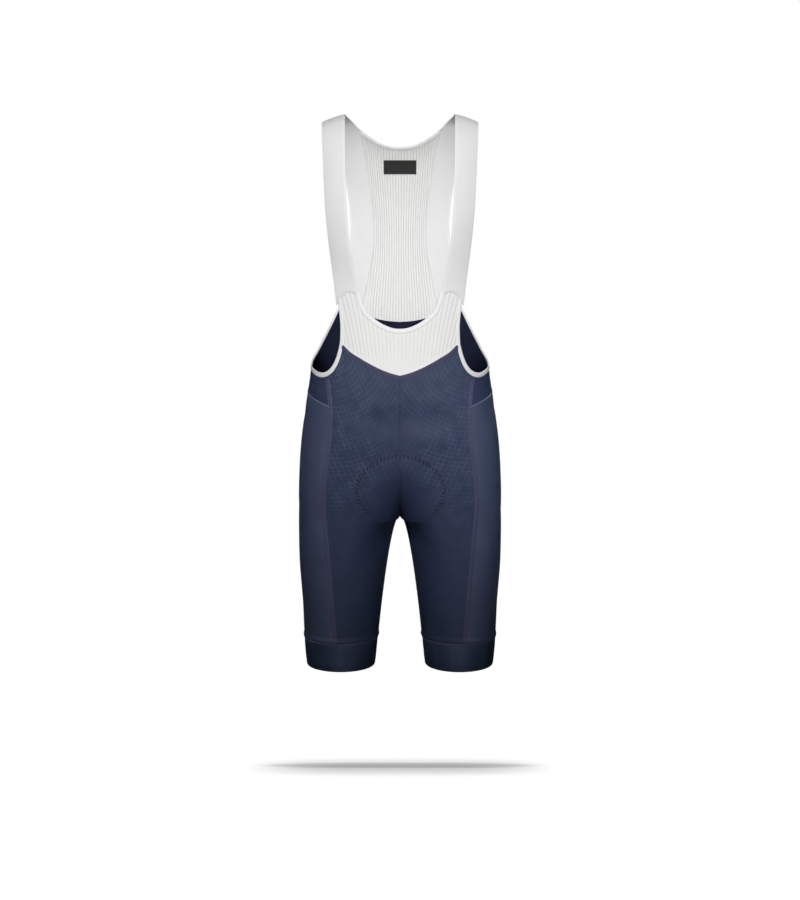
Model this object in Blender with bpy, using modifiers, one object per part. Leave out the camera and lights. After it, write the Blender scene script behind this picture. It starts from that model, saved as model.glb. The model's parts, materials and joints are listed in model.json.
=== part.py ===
"""Cycling bib shorts, filled out as when worn, in metres with +Z up and the front facing -Y.

The origin is the middle of the shoulder line, where the braces rest on the wearer.
The tables below are in millimetres and degrees. A place on the garment is a turn round the body
and a height: turn 0 is the centre front, 90 the wearer's left side and 180 the centre back. Below
the crotch, where the sections split into two legs, turns 0 and 180 both lie on the inseam.
"""
import math
from collections import namedtuple

import bmesh
import bpy
from mathutils import Vector

MM = 0.001

# Cloth
KNIT_WALL = 1.2
GRIPPER_WALL = 1.6
MESH_WALL = 1.0
BRACE_WALL = 1.3
SEAM_GAP = 0.3
SIDE_SEAM_GAP = 0.6
SLANT_GAP = 0.6
RIB_HEIGHT = 0.7
CLOTH_ROUGHNESS = 0.8
SHARP_ANGLE = 50.0

# Bands
BRACE_WIDTH = 39.0
BRACE_CROWN = 1.2
NECK_WIDTH = 7.0
NAPE_WIDTH = 5.5
BINDING_PROUD = 0.4
LABEL_WIDTH = 54.5
LABEL_HEIGHT = 22.8
LABEL_MIDDLE = -76.5
LABEL_WALL = 1.0
LABEL_CLEAR = 0.6

SEARCH_STEPS = 30

# Heights
CROTCH = -647.0
SPLIT_DEPTH = 100.0
YOKE_FRONT = -455.0
GRIPPER_TOP = -851.0
HEM = -900.0

# Half width, front, back and squareness of the body. A squareness of 2 is an ellipse.
Section = namedtuple("Section", "height side front back squareness")
FIGURE = (
    Section(-900, 155.5, -62, 62, 3.0),
    Section(-852, 159.5, -66, 67, 3.0),
    Section(-792, 162.0, -72, 77, 3.0),
    Section(-724, 166.8, -79, 90, 3.0),
    Section(-656, 167.6, -90, 106, 3.0),
    Section(-590, 166.8, -105, 122, 2.8),
    Section(-523, 162.4, -117, 113, 2.45),
    Section(-456, 152.9, -124, 90, 2.3),
    Section(-400, 144.6, -126, 75, 2.3),
    Section(-330, 146.4, -124, 72, 2.3),
    Section(-260, 155.0, -121, 83, 2.3),
    Section(-190, 160.0, -119, 95, 2.3),
    Section(-120, 160.0, -108, 97, 2.3),
    Section(-60, 150.0, -80, 82, 2.3),
    Section(0, 135.0, -40, 40, 2.3),
)

# The centre line of a brace, from the bib over the shoulder to the yoke. out_y and out_z say how
# its outer edge lies from its inner one.
BraceStation = namedtuple("BraceStation", "x y z out_y out_z")
BRACE_ROUTE = (
    BraceStation(81.6, -109.8, -302, 14.0, 0.0),
    BraceStation(85.4, -107.8, -270, 14.5, 0.0),
    BraceStation(90.0, -105.6, -240, 18.5, 0.0),
    BraceStation(94.6, -103.2, -210, 20.0, 0.0),
    BraceStation(98.0, -99.8, -180, 19.5, 0.0),
    BraceStation(100.4, -95.2, -150, 18.0, 0.0),
    BraceStation(102.4, -86.4, -115, 17.0, 0.0),
    BraceStation(104.0, -73.0, -80, 16.0, -1.0),
    BraceStation(105.2, -57.0, -48, 13.5, -3.0),
    BraceStation(106.2, -39.0, -22, 10.0, -6.5),
    BraceStation(106.8, -20.0, -6, 5.0, -10.5),
    BraceStation(107.0, 0.0, 0, 0.0, -12.6),
    BraceStation(103.2, 18.5, -4, -4.5, -13.0),
    BraceStation(96.4, 34.0, -10, -8.5, -13.5),
    BraceStation(87.0, 48.0, -20, -11.5, -12.5),
    BraceStation(80.0, 65.5, -44, -12.0, -9.0),
    BraceStation(74.0, 80.2, -81, -10.5, -4.0),
    BraceStation(68.6, 88.3, -114, -9.0, -1.0),
    BraceStation(64.6, 91.2, -147, -8.0, 0.0),
    BraceStation(63.2, 89.2, -181, -8.0, 0.0),
    BraceStation(65.6, 84.2, -214, -8.5, 0.0),
    BraceStation(70.8, 76.8, -247, -10.0, 0.0),
    BraceStation(77.0, 68.9, -280, -12.0, 0.0),
    BraceStation(80.5, 63.8, -300, -13.5, 0.0),
    BraceStation(82.0, 60.3, -320, -15.0, 0.0),
)

# Seams and edges that run round the body: height at each turn
Seam = namedtuple("Seam", "turn height")
SCOOP_SEAM = (
    Seam(0, -337.5), Seam(6.4, -336.5), Seam(13.6, -332.5), Seam(21.3, -325.2),
    Seam(27.8, -315.4), Seam(33.0, -302.6), Seam(35.3, -289.5), Seam(36.6, -275.0),
)
BRACE_SEAM = (
    Seam(33.0, -276.0), Seam(36.6, -275.0), Seam(38.8, -272.4), Seam(42.0, -271.4),
    Seam(45.9, -277.0), Seam(48.1, -283.6), Seam(51.6, -296.0), Seam(54.0, -305.0),
)
VEE_SEAM = (
    Seam(0, -403.8), Seam(8.9, -399.5), Seam(17.6, -393.4), Seam(26.1, -385.6),
    Seam(34.2, -376.7), Seam(42.1, -366.9), Seam(47.6, -356.0),
)
ARMHOLE_SEAM = (
    Seam(47.6, -356.0), Seam(49.5, -373.8), Seam(51.4, -386.0), Seam(54.4, -397.7),
    Seam(58.7, -406.2), Seam(63.4, -409.8), Seam(68.1, -409.6), Seam(73.0, -407.4),
    Seam(79.0, -404.2), Seam(90.0, -397.6), Seam(99.9, -388.6), Seam(106.5, -378.2),
    Seam(112.5, -363.6), Seam(117.7, -347.5), Seam(121.9, -332.4), Seam(126.8, -313.5),
    Seam(130.8, -300.8),
)
BACK_SEAM = (
    Seam(127.4, -293.5), Seam(130.8, -300.8), Seam(138.5, -312.0), Seam(148.0, -321.3),
    Seam(157.0, -327.3), Seam(165.0, -330.6), Seam(180.0, -333.0),
)
YOKE_SEAM = (
    Seam(50.0, -460.5), Seam(57.7, -455.0), Seam(63.5, -451.0), Seam(69.3, -447.2),
    Seam(79.8, -441.0), Seam(100.0, -434.0), Seam(130.0, -429.0), Seam(180.0, -427.0),
)
NAPE_SEAM = (
    Seam(126.0, -18.0), Seam(132.0, -23.0), Seam(141.5, -31.5), Seam(154.0, -41.0),
    Seam(167.0, -46.8), Seam(180.0, -48.5),
)

# The side-front seam: distance from the middle plane at each height
Line = namedtuple("Line", "height x")
SIDE_SEAM = (
    Line(-852, 106.4), Line(-776, 112.1), Line(-709, 116.9), Line(-675, 119.7),
    Line(-643, 122.2), Line(-619, 123.4), Line(-591, 122.8), Line(-559, 119.6),
    Line(-527, 114.9), Line(-495, 111.8), Line(-453, 111.3), Line(-414, 115.4),
    Line(-404.2, 116.8),
)

# The edge of the bib beside the armhole: turn at each height
Edge = namedtuple("Edge", "height turn")
BIB_SIDE = (
    Edge(-356, 47.6), Edge(-330, 47.3), Edge(-305, 47.7), Edge(-283.6, 48.1),
)

# Heights of the rows of points below the yoke, closer together round the crotch
LEG_ROWS = (
    -480, -508, -534, -558, -580, -600, -616, -629, -639, -644.5, CROTCH, -651, -659, -671,
    -689, -713, -743, -777, -814,
)


def smooth(pairs, where):
    """The value at a place on a smooth line through pairs of place and value, in rising order."""
    places = [pair[0] for pair in pairs]
    values = [pair[1] for pair in pairs]
    count = len(pairs)
    steps = [places[i + 1] - places[i] for i in range(count - 1)]
    rises = [(values[i + 1] - values[i]) / steps[i] for i in range(count - 1)]
    slopes = [rises[0]]
    for i in range(1, count - 1):
        share = steps[i - 1] / (steps[i - 1] + steps[i])
        slopes.append(rises[i - 1] * (1 - share) + rises[i] * share)
    slopes.append(rises[-1])
    if where <= places[0]:
        return values[0] + slopes[0] * (where - places[0])
    if where >= places[-1]:
        return values[-1] + slopes[-1] * (where - places[-1])
    i = max(k for k in range(count - 1) if places[k] <= where)
    t = (where - places[i]) / steps[i]
    return (
        (1 + 2 * t) * (1 - t) ** 2 * values[i]
        + t * (1 - t) ** 2 * steps[i] * slopes[i]
        + t * t * (3 - 2 * t) * values[i + 1]
        + t * t * (t - 1) * steps[i] * slopes[i + 1]
    )


def between(start, end, share):
    return start + (end - start) * share


def spread(start, end, count):
    """Evenly spaced numbers, both ends included."""
    return [between(start, end, i / (count - 1)) for i in range(count)]


# ---------------------------------------------------------------- the body that the cloth follows

SIDE_LINE = [(row.height, row.side) for row in FIGURE]
FRONT_LINE = [(row.height, row.front) for row in FIGURE]
BACK_LINE = [(row.height, row.back) for row in FIGURE]
SQUARENESS_LINE = [(row.height, row.squareness) for row in FIGURE]

LEG_GAP_SCALE = 1.78
LEG_GAP_POWER = 0.57
EVEN_DEPTH = 130.0
SPLIT_LEAN = 215.0
SPLIT_EDGE = 0.3


def leg_gap(height):
    """Half of the space between the legs, which opens below the crotch."""
    return LEG_GAP_SCALE * max(CROTCH - height, 0) ** LEG_GAP_POWER


def torso_share(reach, height):
    """0 where the section is that of a leg, 1 where it is that of the torso.

    reach is 0 at the middle plane, where the crotch is a round arch, and 1 at the side of the
    body, where the leg runs on into the hip.
    """
    lean = SPLIT_LEAN * reach
    rise = min(max((height - CROTCH + lean) / (SPLIT_DEPTH + lean), 0), 1)
    softness = 0.5 + min(reach / SPLIT_EDGE, 1)
    return (1 - (1 - rise) ** 2) ** softness


def leg_evenness(height):
    """0 where turns are spread as on the torso, 1 where they go evenly round the leg."""
    fall = min(max((CROTCH - height) / EVEN_DEPTH, 0), 1)
    return fall * fall * (3 - 2 * fall)


def half_place(turn, height):
    """A point on the wearer's left half of the body, for turns of 0 to 180."""
    side = smooth(SIDE_LINE, height)
    front = smooth(FRONT_LINE, height)
    back = smooth(BACK_LINE, height)
    power = smooth(SQUARENESS_LINE, height)
    depth = (back - front) / 2

    angle = math.radians(turn)
    forward, sideways = abs(math.cos(angle)) / depth, math.sin(angle) / side
    radius = (forward ** power + sideways ** power) ** (-1 / power)
    matched = math.acos(max(1 - 2 * radius * math.sin(angle) / side, -1))
    if turn > 90:
        matched = 2 * math.pi - matched
    angle = between(matched, 2 * angle, leg_evenness(height))
    reach = (1 - math.cos(angle)) / 2

    leg = abs(math.sin(angle))
    torso = max(1 - reach ** power, 0) ** (1 / power)
    bulge = depth * between(leg, torso, torso_share(reach, height))
    x = between(leg_gap(height), side, reach)
    return Vector((x, (front + back) / 2 - math.copysign(bulge, math.sin(angle)), height))


def place(turn, height):
    """A point on the body, for turns of -180 to 360."""
    if turn < 0:
        point = half_place(-turn, height)
    elif turn > 180:
        point = half_place(360 - turn, height)
    else:
        return half_place(turn, height)
    point.x = -point.x
    return point


def outward(turn, height):
    """The direction straight out of the body."""
    along = place(turn + 0.5, height) - place(turn - 0.5, height)
    up = place(turn, height + 1) - place(turn, height - 1)
    return along.cross(up).normalized()


def slide(turn, height, distance):
    """The turn that lies a distance further round the left half of the body."""
    start = max(turn - 0.5, 0)
    end = min(turn + 0.5, 180)
    speed = (half_place(end, height) - half_place(start, height)).length / (end - start)
    return turn + distance / speed


def turn_at(x, height, start, end):
    """The turn between start and end where the body is x from its middle plane."""
    rising = place(end, height).x > place(start, height).x
    for _ in range(SEARCH_STEPS):
        middle = (start + end) / 2
        if (place(middle, height).x < x) == rising:
            start = middle
        else:
            end = middle
    return (start + end) / 2


# ---------------------------------------------------------------- objects

def new_collection(name):
    collection = bpy.data.collections.new(name)
    bpy.context.scene.collection.children.link(collection)
    return collection


def cloth_material(name, colour):
    material = bpy.data.materials.new(name)
    material.use_nodes = True
    shader = material.node_tree.nodes["Principled BSDF"]
    shader.inputs["Base Color"].default_value = (*colour, 1)
    shader.inputs["Roughness"].default_value = CLOTH_ROUGHNESS
    shader.inputs["Metallic"].default_value = 0
    material.diffuse_color = (*colour, 1)
    return material


def new_object(name, points, faces, colour):
    mesh = bpy.data.meshes.new(name)
    mesh.from_pydata([point * MM for point in points], [], faces)
    mesh.materials.append(cloth_material(name + "_cloth", colour))
    mesh.shade_smooth()
    mesh.set_sharp_from_angle(angle=math.radians(SHARP_ANGLE))
    piece = bpy.data.objects.new(name, mesh)
    GARMENT.objects.link(piece)
    return piece


def mirrored(rows):
    """The same grid on the wearer's right, in an order that keeps its faces pointing out."""
    return [[Vector((-p.x, p.y, p.z)) for p in reversed(row)] for row in rows]


def open_sheet(name, rows, colour):
    """A sheet through rows of points, each row going round with the turn, from the top down."""
    width = len(rows[0])
    points = [point for row in rows for point in row]
    faces = []
    for i in range(len(rows) - 1):
        for j in range(width - 1):
            corner = i * width + j
            faces.append((corner, corner + width, corner + width + 1, corner + 1))
    piece = new_object(name, points, faces, colour)
    piece.data["columns"] = width
    return piece


def ring_sheet(name, rows, colour):
    """A tube through closed rings of points, from the top down."""
    around = len(rows[0])
    points = [point for row in rows for point in row]
    faces = []
    for i in range(len(rows) - 1):
        for j in range(around):
            corner = i * around + j
            beside = i * around + (j + 1) % around
            faces.append((corner, corner + around, beside + around, beside))
    return new_object(name, points, faces, colour)


def cloth_wall(piece, thickness):
    """Gives a sheet its thickness, all of it inward."""
    wall = piece.modifiers.new("Wall", "SOLIDIFY")
    wall.thickness = thickness * MM
    wall.offset = -1
    return piece


def ribbed_wall(piece, thickness):
    """A wall with a plain inside, and a rib standing out at every second column of points."""
    cloth_wall(piece, thickness)
    sheet = piece.data
    mesh = bpy.data.meshes.new_from_object(
        piece.evaluated_get(bpy.context.evaluated_depsgraph_get())
    )
    width = sheet["columns"]
    last_row = len(sheet.vertices) // width - 1
    for vertex in sheet.vertices:
        row, column = divmod(vertex.index, width)
        if column % 2 and 0 < row < last_row:
            mesh.vertices[vertex.index].co += vertex.normal * RIB_HEIGHT * MM
    piece.modifiers.clear()
    piece.data = mesh
    return piece


def band(name, strings, colour):
    """A closed bar through strings of points that run along it, in order round its section."""
    around = len(strings)
    along = len(strings[0])
    points = [strings[k][i] for i in range(along) for k in range(around)]
    faces = []
    for i in range(along - 1):
        for k in range(around):
            here = i * around + k
            beside = i * around + (k + 1) % around
            faces.append((here, beside, beside + around, here + around))
    faces.append(tuple(reversed(range(around))))
    faces.append(tuple(range((along - 1) * around, along * around)))
    piece = new_object(name, points, faces, colour)
    shape = bmesh.new()
    shape.from_mesh(piece.data)
    bmesh.ops.recalc_face_normals(shape, faces=shape.faces)
    shape.to_mesh(piece.data)
    shape.free()
    return piece


NAVY = (0.026, 0.034, 0.062)
NAVY_SIDE = (0.032, 0.042, 0.074)
NAVY_GRIPPER = (0.020, 0.028, 0.052)
WHITE_MESH = (0.82, 0.82, 0.82)
WHITE_BRACE = (0.76, 0.76, 0.76)
WHITE_BINDING = (0.86, 0.86, 0.87)
BLACK = (0.02, 0.02, 0.02)


# ---------------------------------------------------------------- navy legs and yoke

SIDE_COLUMNS = 18
SIDE_CROWDING = 1.45
YOKE_ROWS = 7
YOKE_EASE = 3
GRIPPER_COLUMNS = 32
GRIPPER_ROWS = 4
UPPER_FRONT_ROWS = 4
UPPER_SIDE_ROWS = 2
CROTCH_CLEAR = 0.6
CROTCH_REACH = 30.0
ROUTE_STEPS = 60
ARMHOLE_FRONT_STEPS = 5
ARMHOLE_BACK_STEPS = 24


def even_route(seam, start, end, intervals):
    """Turns and heights evenly spaced along the armhole seam between two turns."""
    fine = [(turn, smooth(seam, turn)) for turn in spread(start, end, ROUTE_STEPS)]
    lengths = [0]
    for before, after in zip(fine, fine[1:]):
        lengths.append(lengths[-1] + (place(*after) - place(*before)).length)
    turns = [(length, row[0]) for length, row in zip(lengths, fine)]
    spaced = [smooth(turns, distance) for distance in spread(0, lengths[-1], intervals + 1)]
    return [(turn, smooth(seam, turn)) for turn in spaced]


def side_turn(height):
    """The turn of the side-front seam."""
    level = min(max(height, SIDE_SEAM[0].height), SIDE_SEAM[-1].height)
    return turn_at(smooth(SIDE_SEAM, level), level, 0, 90)


SIDE_CORNER = side_turn(SIDE_SEAM[-1].height)
BACK_CORNER = ARMHOLE_SEAM[-1].turn
NECK_CORNER = SCOOP_SEAM[-1].turn
FRONT_CORNER = ARMHOLE_SEAM[0].turn
ARMHOLE_FRONT = even_route(ARMHOLE_SEAM, FRONT_CORNER, SIDE_CORNER, ARMHOLE_FRONT_STEPS)
ARMHOLE_BACK = even_route(ARMHOLE_SEAM, SIDE_CORNER, BACK_CORNER, ARMHOLE_BACK_STEPS)
YOKE_BACK_TURNS = (134, 137.5, 142, 148, 156, 164, 172, 180)

# The bib's columns from its middle to the armhole, one at the corner of the neck. A front panel
# has a column at some of them, closer together where the V seam curves.
NECK_COLUMNS = 27
BRACE_END_COLUMNS = 9
BIB_TURNS = spread(0, NECK_CORNER, NECK_COLUMNS)
BIB_TURNS += spread(NECK_CORNER, BIB_SIDE[-1].turn, BRACE_END_COLUMNS)[1:]
SHARED_COLUMNS = (0, 1, 2, 4, 7, 11, 16, 21, 26, 28, 30, 32)


def seam_clear(height, at_inseam):
    """Half of the seam gap, and more where four panels come together at the crotch.

    The walls of two panels lean towards each other inside a side seam, so it is wider as well.
    """
    if not at_inseam:
        return SIDE_SEAM_GAP / 2
    return SEAM_GAP / 2 + CROTCH_CLEAR * max(1 - abs(height - CROTCH) / CROTCH_REACH, 0)


def leg_row(shares, heights, first_turn, last_turn):
    """A row between two seams, half of the seam gap short of each."""
    row = []
    for share, height in zip(shares, heights):
        clear = seam_clear(height, first_turn is inseam_front)
        first = slide(first_turn(height), height, clear)
        clear = seam_clear(height, last_turn is inseam_back)
        last = slide(last_turn(height), height, -clear)
        point = place(between(first, last, share), height)
        point.x = max(point.x, SEAM_GAP / 2)
        row.append(point)
    return row


def inseam_front(height):
    return 0


def inseam_back(height):
    return 180


def leg_heights(tops, upper_rows):
    """Row heights that start along a top edge and are level from the first of LEG_ROWS down."""
    upper = [
        [between(top, LEG_ROWS[0], step / upper_rows) for top in tops]
        for step in range(upper_rows)
    ]
    levels = LEG_ROWS + (GRIPPER_TOP + SEAM_GAP / 2,)
    return upper + [[height] * len(tops) for height in levels]


def front_panel_rows():
    turns = [BIB_TURNS[column] for column in SHARED_COLUMNS]
    tops = [smooth(VEE_SEAM, turn) - SLANT_GAP / 2 for turn in turns]
    turns += [turn for turn, height in ARMHOLE_FRONT]
    tops += [height for turn, height in ARMHOLE_FRONT]
    shares = [turn / SIDE_CORNER for turn in turns]
    return [
        leg_row(shares, heights, inseam_front, side_turn)
        for heights in leg_heights(tops, UPPER_FRONT_ROWS)
    ]


def side_back_rows():
    shares = [1 - step ** SIDE_CROWDING for step in spread(1, 0, SIDE_COLUMNS)]
    seam_start = side_turn(YOKE_FRONT)
    tops = [
        smooth(YOKE_SEAM, between(seam_start, 180, share)) - SLANT_GAP / 2 for share in shares
    ]
    return [
        leg_row(shares, heights, side_turn, inseam_back)
        for heights in leg_heights(tops, UPPER_SIDE_ROWS)
    ]


def yoke_rows():
    """Rows from one side-front seam round the back to the other."""
    tops = list(ARMHOLE_BACK)
    tops += [(turn, smooth(BACK_SEAM, turn) - SEAM_GAP / 2) for turn in YOKE_BACK_TURNS]
    lean = side_turn(YOKE_FRONT) - SIDE_CORNER
    rows = []
    for share in spread(0, 1, YOKE_ROWS):
        row = []
        for turn, top in tops:
            nearness = ((180 - turn) / (180 - SIDE_CORNER)) ** YOKE_EASE
            low = smooth(YOKE_SEAM, turn + lean * nearness) + SLANT_GAP / 2
            height = between(top, low, share)
            moved = turn + (side_turn(height) - SIDE_CORNER) * nearness
            row.append(place(slide(moved, height, SEAM_GAP / 2 * nearness), height))
        rows.append(with_other_half(row))
    return rows


def with_other_half(row):
    """A row from the left to the middle plane, carried on to the right."""
    return row + [Vector((-p.x, p.y, p.z)) for p in reversed(row[:-1])]


def gripper_rows():
    turns = spread(0, 180, GRIPPER_COLUMNS + 1)[:-1]
    return [
        [half_place(turn, height) for turn in turns]
        for height in spread(GRIPPER_TOP - SEAM_GAP / 2, HEM, GRIPPER_ROWS)
    ]


def make_legs():
    left = front_panel_rows()
    cloth_wall(open_sheet("front_panel_left", left, NAVY), KNIT_WALL)
    cloth_wall(open_sheet("front_panel_right", mirrored(left), NAVY), KNIT_WALL)
    left = side_back_rows()
    cloth_wall(open_sheet("side_back_panel_left", left, NAVY_SIDE), KNIT_WALL)
    cloth_wall(open_sheet("side_back_panel_right", mirrored(left), NAVY_SIDE), KNIT_WALL)
    cloth_wall(open_sheet("back_yoke", yoke_rows(), NAVY), KNIT_WALL)
    left = gripper_rows()
    cloth_wall(ring_sheet("gripper_left", left, NAVY_GRIPPER), GRIPPER_WALL)
    cloth_wall(ring_sheet("gripper_right", mirrored(left), NAVY_GRIPPER), GRIPPER_WALL)


# ---------------------------------------------------------------- braces

BRACE_ROWS = 34
BRACE_COLUMNS = 7
BRACE_END_GAP = 0.8
BRACE_SIDE_GAP = 0.55
BRACE_END_REACH = 90.0


def brace_stations():
    """Each station's distance along the brace, with its middle and its outward vector."""
    stations = []
    distance = 0
    before = None
    for row in BRACE_ROUTE:
        middle = Vector((row.x, row.y, row.z))
        if before is not None:
            distance += (middle - before).length
        before = middle
        out_x = math.sqrt(BRACE_WIDTH ** 2 - row.out_y ** 2 - row.out_z ** 2)
        stations.append((distance, middle, Vector((out_x, row.out_y, row.out_z))))
    return stations


BRACE_STATIONS = brace_stations()
BRACE_LENGTH = BRACE_STATIONS[-1][0]
MIDDLE_LINES = [[(row[0], row[1][axis]) for row in BRACE_STATIONS] for axis in range(3)]
OUTWARD_LINES = [[(row[0], row[2][axis]) for row in BRACE_STATIONS] for axis in range(3)]


def brace_place(distance, share):
    """A point of the left brace: share 0 is its inner edge and 1 its outer one."""
    across = Vector([smooth(line, distance) for line in OUTWARD_LINES])
    middle = Vector([smooth(line, distance) for line in MIDDLE_LINES])
    ahead = Vector([smooth(line, distance + 1) for line in MIDDLE_LINES])
    crown = BRACE_CROWN * 4 * share * (1 - share)
    return middle + across * (share - 0.5) + across.cross(ahead - middle).normalized() * crown


def brace_end(share, seam, side, start, end):
    """How far along the brace it meets a seam, on the side of the body with turn 0 or 180."""
    for _ in range(SEARCH_STEPS):
        middle = (start + end) / 2
        point = brace_place(middle, share)
        turn = turn_at(point.x, point.z, side, 90)
        above = point.z > smooth(seam, turn) + BRACE_END_GAP
        if above == (side == 0):
            end = middle
        else:
            start = middle
    return (start + end) / 2


def brace_rows():
    shares = spread(1, 0, BRACE_COLUMNS)
    near_end = BRACE_LENGTH - BRACE_END_REACH
    fronts = [brace_end(share, BRACE_SEAM, 0, 0, BRACE_END_REACH) for share in shares]
    backs = [brace_end(share, BACK_SEAM, 180, near_end, BRACE_LENGTH) for share in shares]
    return [
        [brace_place(between(f, b, step), share) for share, f, b in zip(shares, fronts, backs)]
        for step in spread(0, 1, BRACE_ROWS)
    ]


def make_braces():
    left = brace_rows()
    cloth_wall(open_sheet("strap_left", left, WHITE_BRACE), BRACE_WALL)
    cloth_wall(open_sheet("strap_right", mirrored(left), WHITE_BRACE), BRACE_WALL)


# ---------------------------------------------------------------- white mesh

BIB_ROWS = 8
BIB_EASE = 4
BACK_MESH_ROWS = 14
BACK_MESH_HALF_COLUMNS = 18
NAPE_CORNER = 131.5
BACK_MESH_CORNER = 147.0


def bib_rows():
    low_corner = BIB_SIDE[0]
    top_corner = BIB_SIDE[-1]
    rows = []
    for step in spread(0, 1, BIB_ROWS):
        row = []
        for turn in BIB_TURNS:
            seam = SCOOP_SEAM if turn < NECK_CORNER else BRACE_SEAM
            nearness = (turn / top_corner.turn) ** BIB_EASE
            low_turn = turn + (low_corner.turn - top_corner.turn) * nearness
            low = smooth(VEE_SEAM, low_turn) + SLANT_GAP / 2
            height = between(smooth(seam, turn), low, step)
            edge_turn = smooth(BIB_SIDE, max(height, low_corner.height))
            row.append(place(turn + (edge_turn - top_corner.turn) * nearness, height))
        rows.append([Vector((-p.x, p.y, p.z)) for p in reversed(row[1:])] + row)
    return rows


def brace_inner_edge(height):
    """The point on the back run of the left brace's inner edge at a height."""
    start = BRACE_LENGTH / 2
    end = BRACE_LENGTH
    for _ in range(SEARCH_STEPS):
        middle = (start + end) / 2
        if brace_place(middle, 0).z > height:
            start = middle
        else:
            end = middle
    return brace_place(middle, 0)


def back_mesh_edge(height):
    """The turn of the back mesh's edge, and how far a brace's inner edge is off the body."""
    edge = brace_inner_edge(height) - Vector((BRACE_SIDE_GAP, 0, 0))
    edge_turn = turn_at(edge.x, edge.z, 180, 90)
    return edge_turn, edge - place(edge_turn, edge.z)


def back_mesh_rows():
    """Rows across the back, fitted to the inner edges of both braces."""
    shares = spread(1, 0, BACK_MESH_HALF_COLUMNS + 1)
    tops = [smooth(NAPE_SEAM, between(180, NAPE_CORNER, share)) for share in shares]
    corner_low = smooth(BACK_SEAM, BACK_MESH_CORNER) + SEAM_GAP
    rows = []
    for step in spread(0, 1, BACK_MESH_ROWS):
        edge_turn, fit = back_mesh_edge(between(tops[0], corner_low, step))
        row = []
        for share, top in zip(shares, tops):
            turn = between(180, edge_turn, share)
            height = between(top, smooth(BACK_SEAM, turn) + SEAM_GAP, step)
            row.append(place(turn, height) + fit * share ** 2)
        rows.append(with_other_half(row))
    return rows


def make_mesh_panels():
    ribbed_wall(open_sheet("front_mesh_panel", bib_rows(), WHITE_MESH), MESH_WALL)
    ribbed_wall(open_sheet("back_mesh_panel", back_mesh_rows(), WHITE_MESH), MESH_WALL)


# ---------------------------------------------------------------- bindings

BINDING_CLEAR = 0.45
BINDING_ROUND = 0.7
TRIM_REACH = 4
# The armhole binding: its width at each turn, from the bib to the back mesh
ARMHOLE_WIDTHS = (
    (47.0, 4.8), (56.0, 5.8), (66.0, 7.4), (80.0, 7.2), (96.0, 5.2), (112.0, 3.6), (131.0, 3.4),
)


def binding_strings(points, faces, widths, toward):
    """The corner lines of a binding that lies beside a seam.

    faces holds the way out of the cloth at each point, and widths how far the binding reaches.
    toward is 1 or -1, for the side of the seam that the opening is on.
    """
    top = BINDING_PROUD
    low = -KNIT_WALL - BINDING_PROUD
    strings = [[] for _ in range(6)]
    last = len(points) - 1
    for i, (point, face, width) in enumerate(zip(points, faces, widths)):
        along = points[min(i + 1, last)] - points[max(i - 1, 0)]
        across = face.cross(along).normalized() * toward
        section = (
            (BINDING_CLEAR, top), (width - BINDING_ROUND, top), (width, top - BINDING_ROUND),
            (width, low + BINDING_ROUND), (width - BINDING_ROUND, low), (BINDING_CLEAR, low),
        )
        for string, (reach, lift) in zip(strings, section):
            string.append(point + across * reach + face * lift)
    return strings


def over_seam(point, seam, side):
    """How far a point stands above the line that clears a seam."""
    turn = turn_at(abs(point.x), point.z, side, 90)
    return point.z - smooth(seam, turn) + SEAM_GAP


def trimmed(string, seam, side):
    """A string with its first stretch drawn in until it starts below a seam."""
    first = 0
    while over_seam(string[first + 1], seam, side) > 0:
        first += 1
    start, end = string[first], string[first + 1]
    if over_seam(start, seam, side) > 0:
        for _ in range(SEARCH_STEPS):
            middle = (start + end) / 2
            if over_seam(middle, seam, side) > 0:
                start = middle
            else:
                end = middle
        start = end
    stop = string[TRIM_REACH]
    drawn_in = [start.lerp(stop, i / TRIM_REACH) for i in range(TRIM_REACH)]
    bow = [string[i] - string[0].lerp(stop, i / TRIM_REACH) for i in range(TRIM_REACH)]
    return [point + lift for point, lift in zip(drawn_in, bow)] + string[TRIM_REACH:]


def trimmed_ends(strings, start, end):
    """Strings drawn in at both ends. start and end are each a seam and its side of the body."""
    drawn = []
    for string in strings:
        string = trimmed(string, *start)
        string = trimmed(list(reversed(string)), *end)
        drawn.append(string)
    return drawn


def armhole_binding():
    heights = spread(BIB_SIDE[-1].height, BIB_SIDE[0].height, BIB_ROWS)
    route = [(smooth(BIB_SIDE, height), height) for height in heights]
    route += ARMHOLE_FRONT[1:] + ARMHOLE_BACK[1:]
    points = [place(*where) for where in route]
    faces = [outward(*where) for where in route]
    widths = [smooth(ARMHOLE_WIDTHS, turn) for turn, height in route]
    strings = binding_strings(points, faces, widths, 1)
    return trimmed_ends(strings, (BRACE_SEAM, 0), (BACK_SEAM, 180))


def neck_binding():
    half = [(turn, smooth(SCOOP_SEAM, turn)) for turn in BIB_TURNS[:NECK_COLUMNS]]
    points = with_other_half([place(*where) for where in reversed(half)])
    route = list(reversed(half)) + [(-turn, height) for turn, height in half[1:]]
    faces = [outward(*where) for where in route]
    strings = binding_strings(points, faces, [NECK_WIDTH] * len(points), -1)
    return trimmed_ends(strings, (BRACE_SEAM, 0), (BRACE_SEAM, 0))


def nape_binding():
    points = back_mesh_rows()[0][::2]
    faces = []
    for point in points:
        turn = turn_at(abs(point.x), point.z, 180, 90)
        face = outward(turn, point.z)
        faces.append(Vector((math.copysign(face.x, point.x), face.y, face.z)))
    return binding_strings(points, faces, [NAPE_WIDTH] * len(points), 1)


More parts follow.
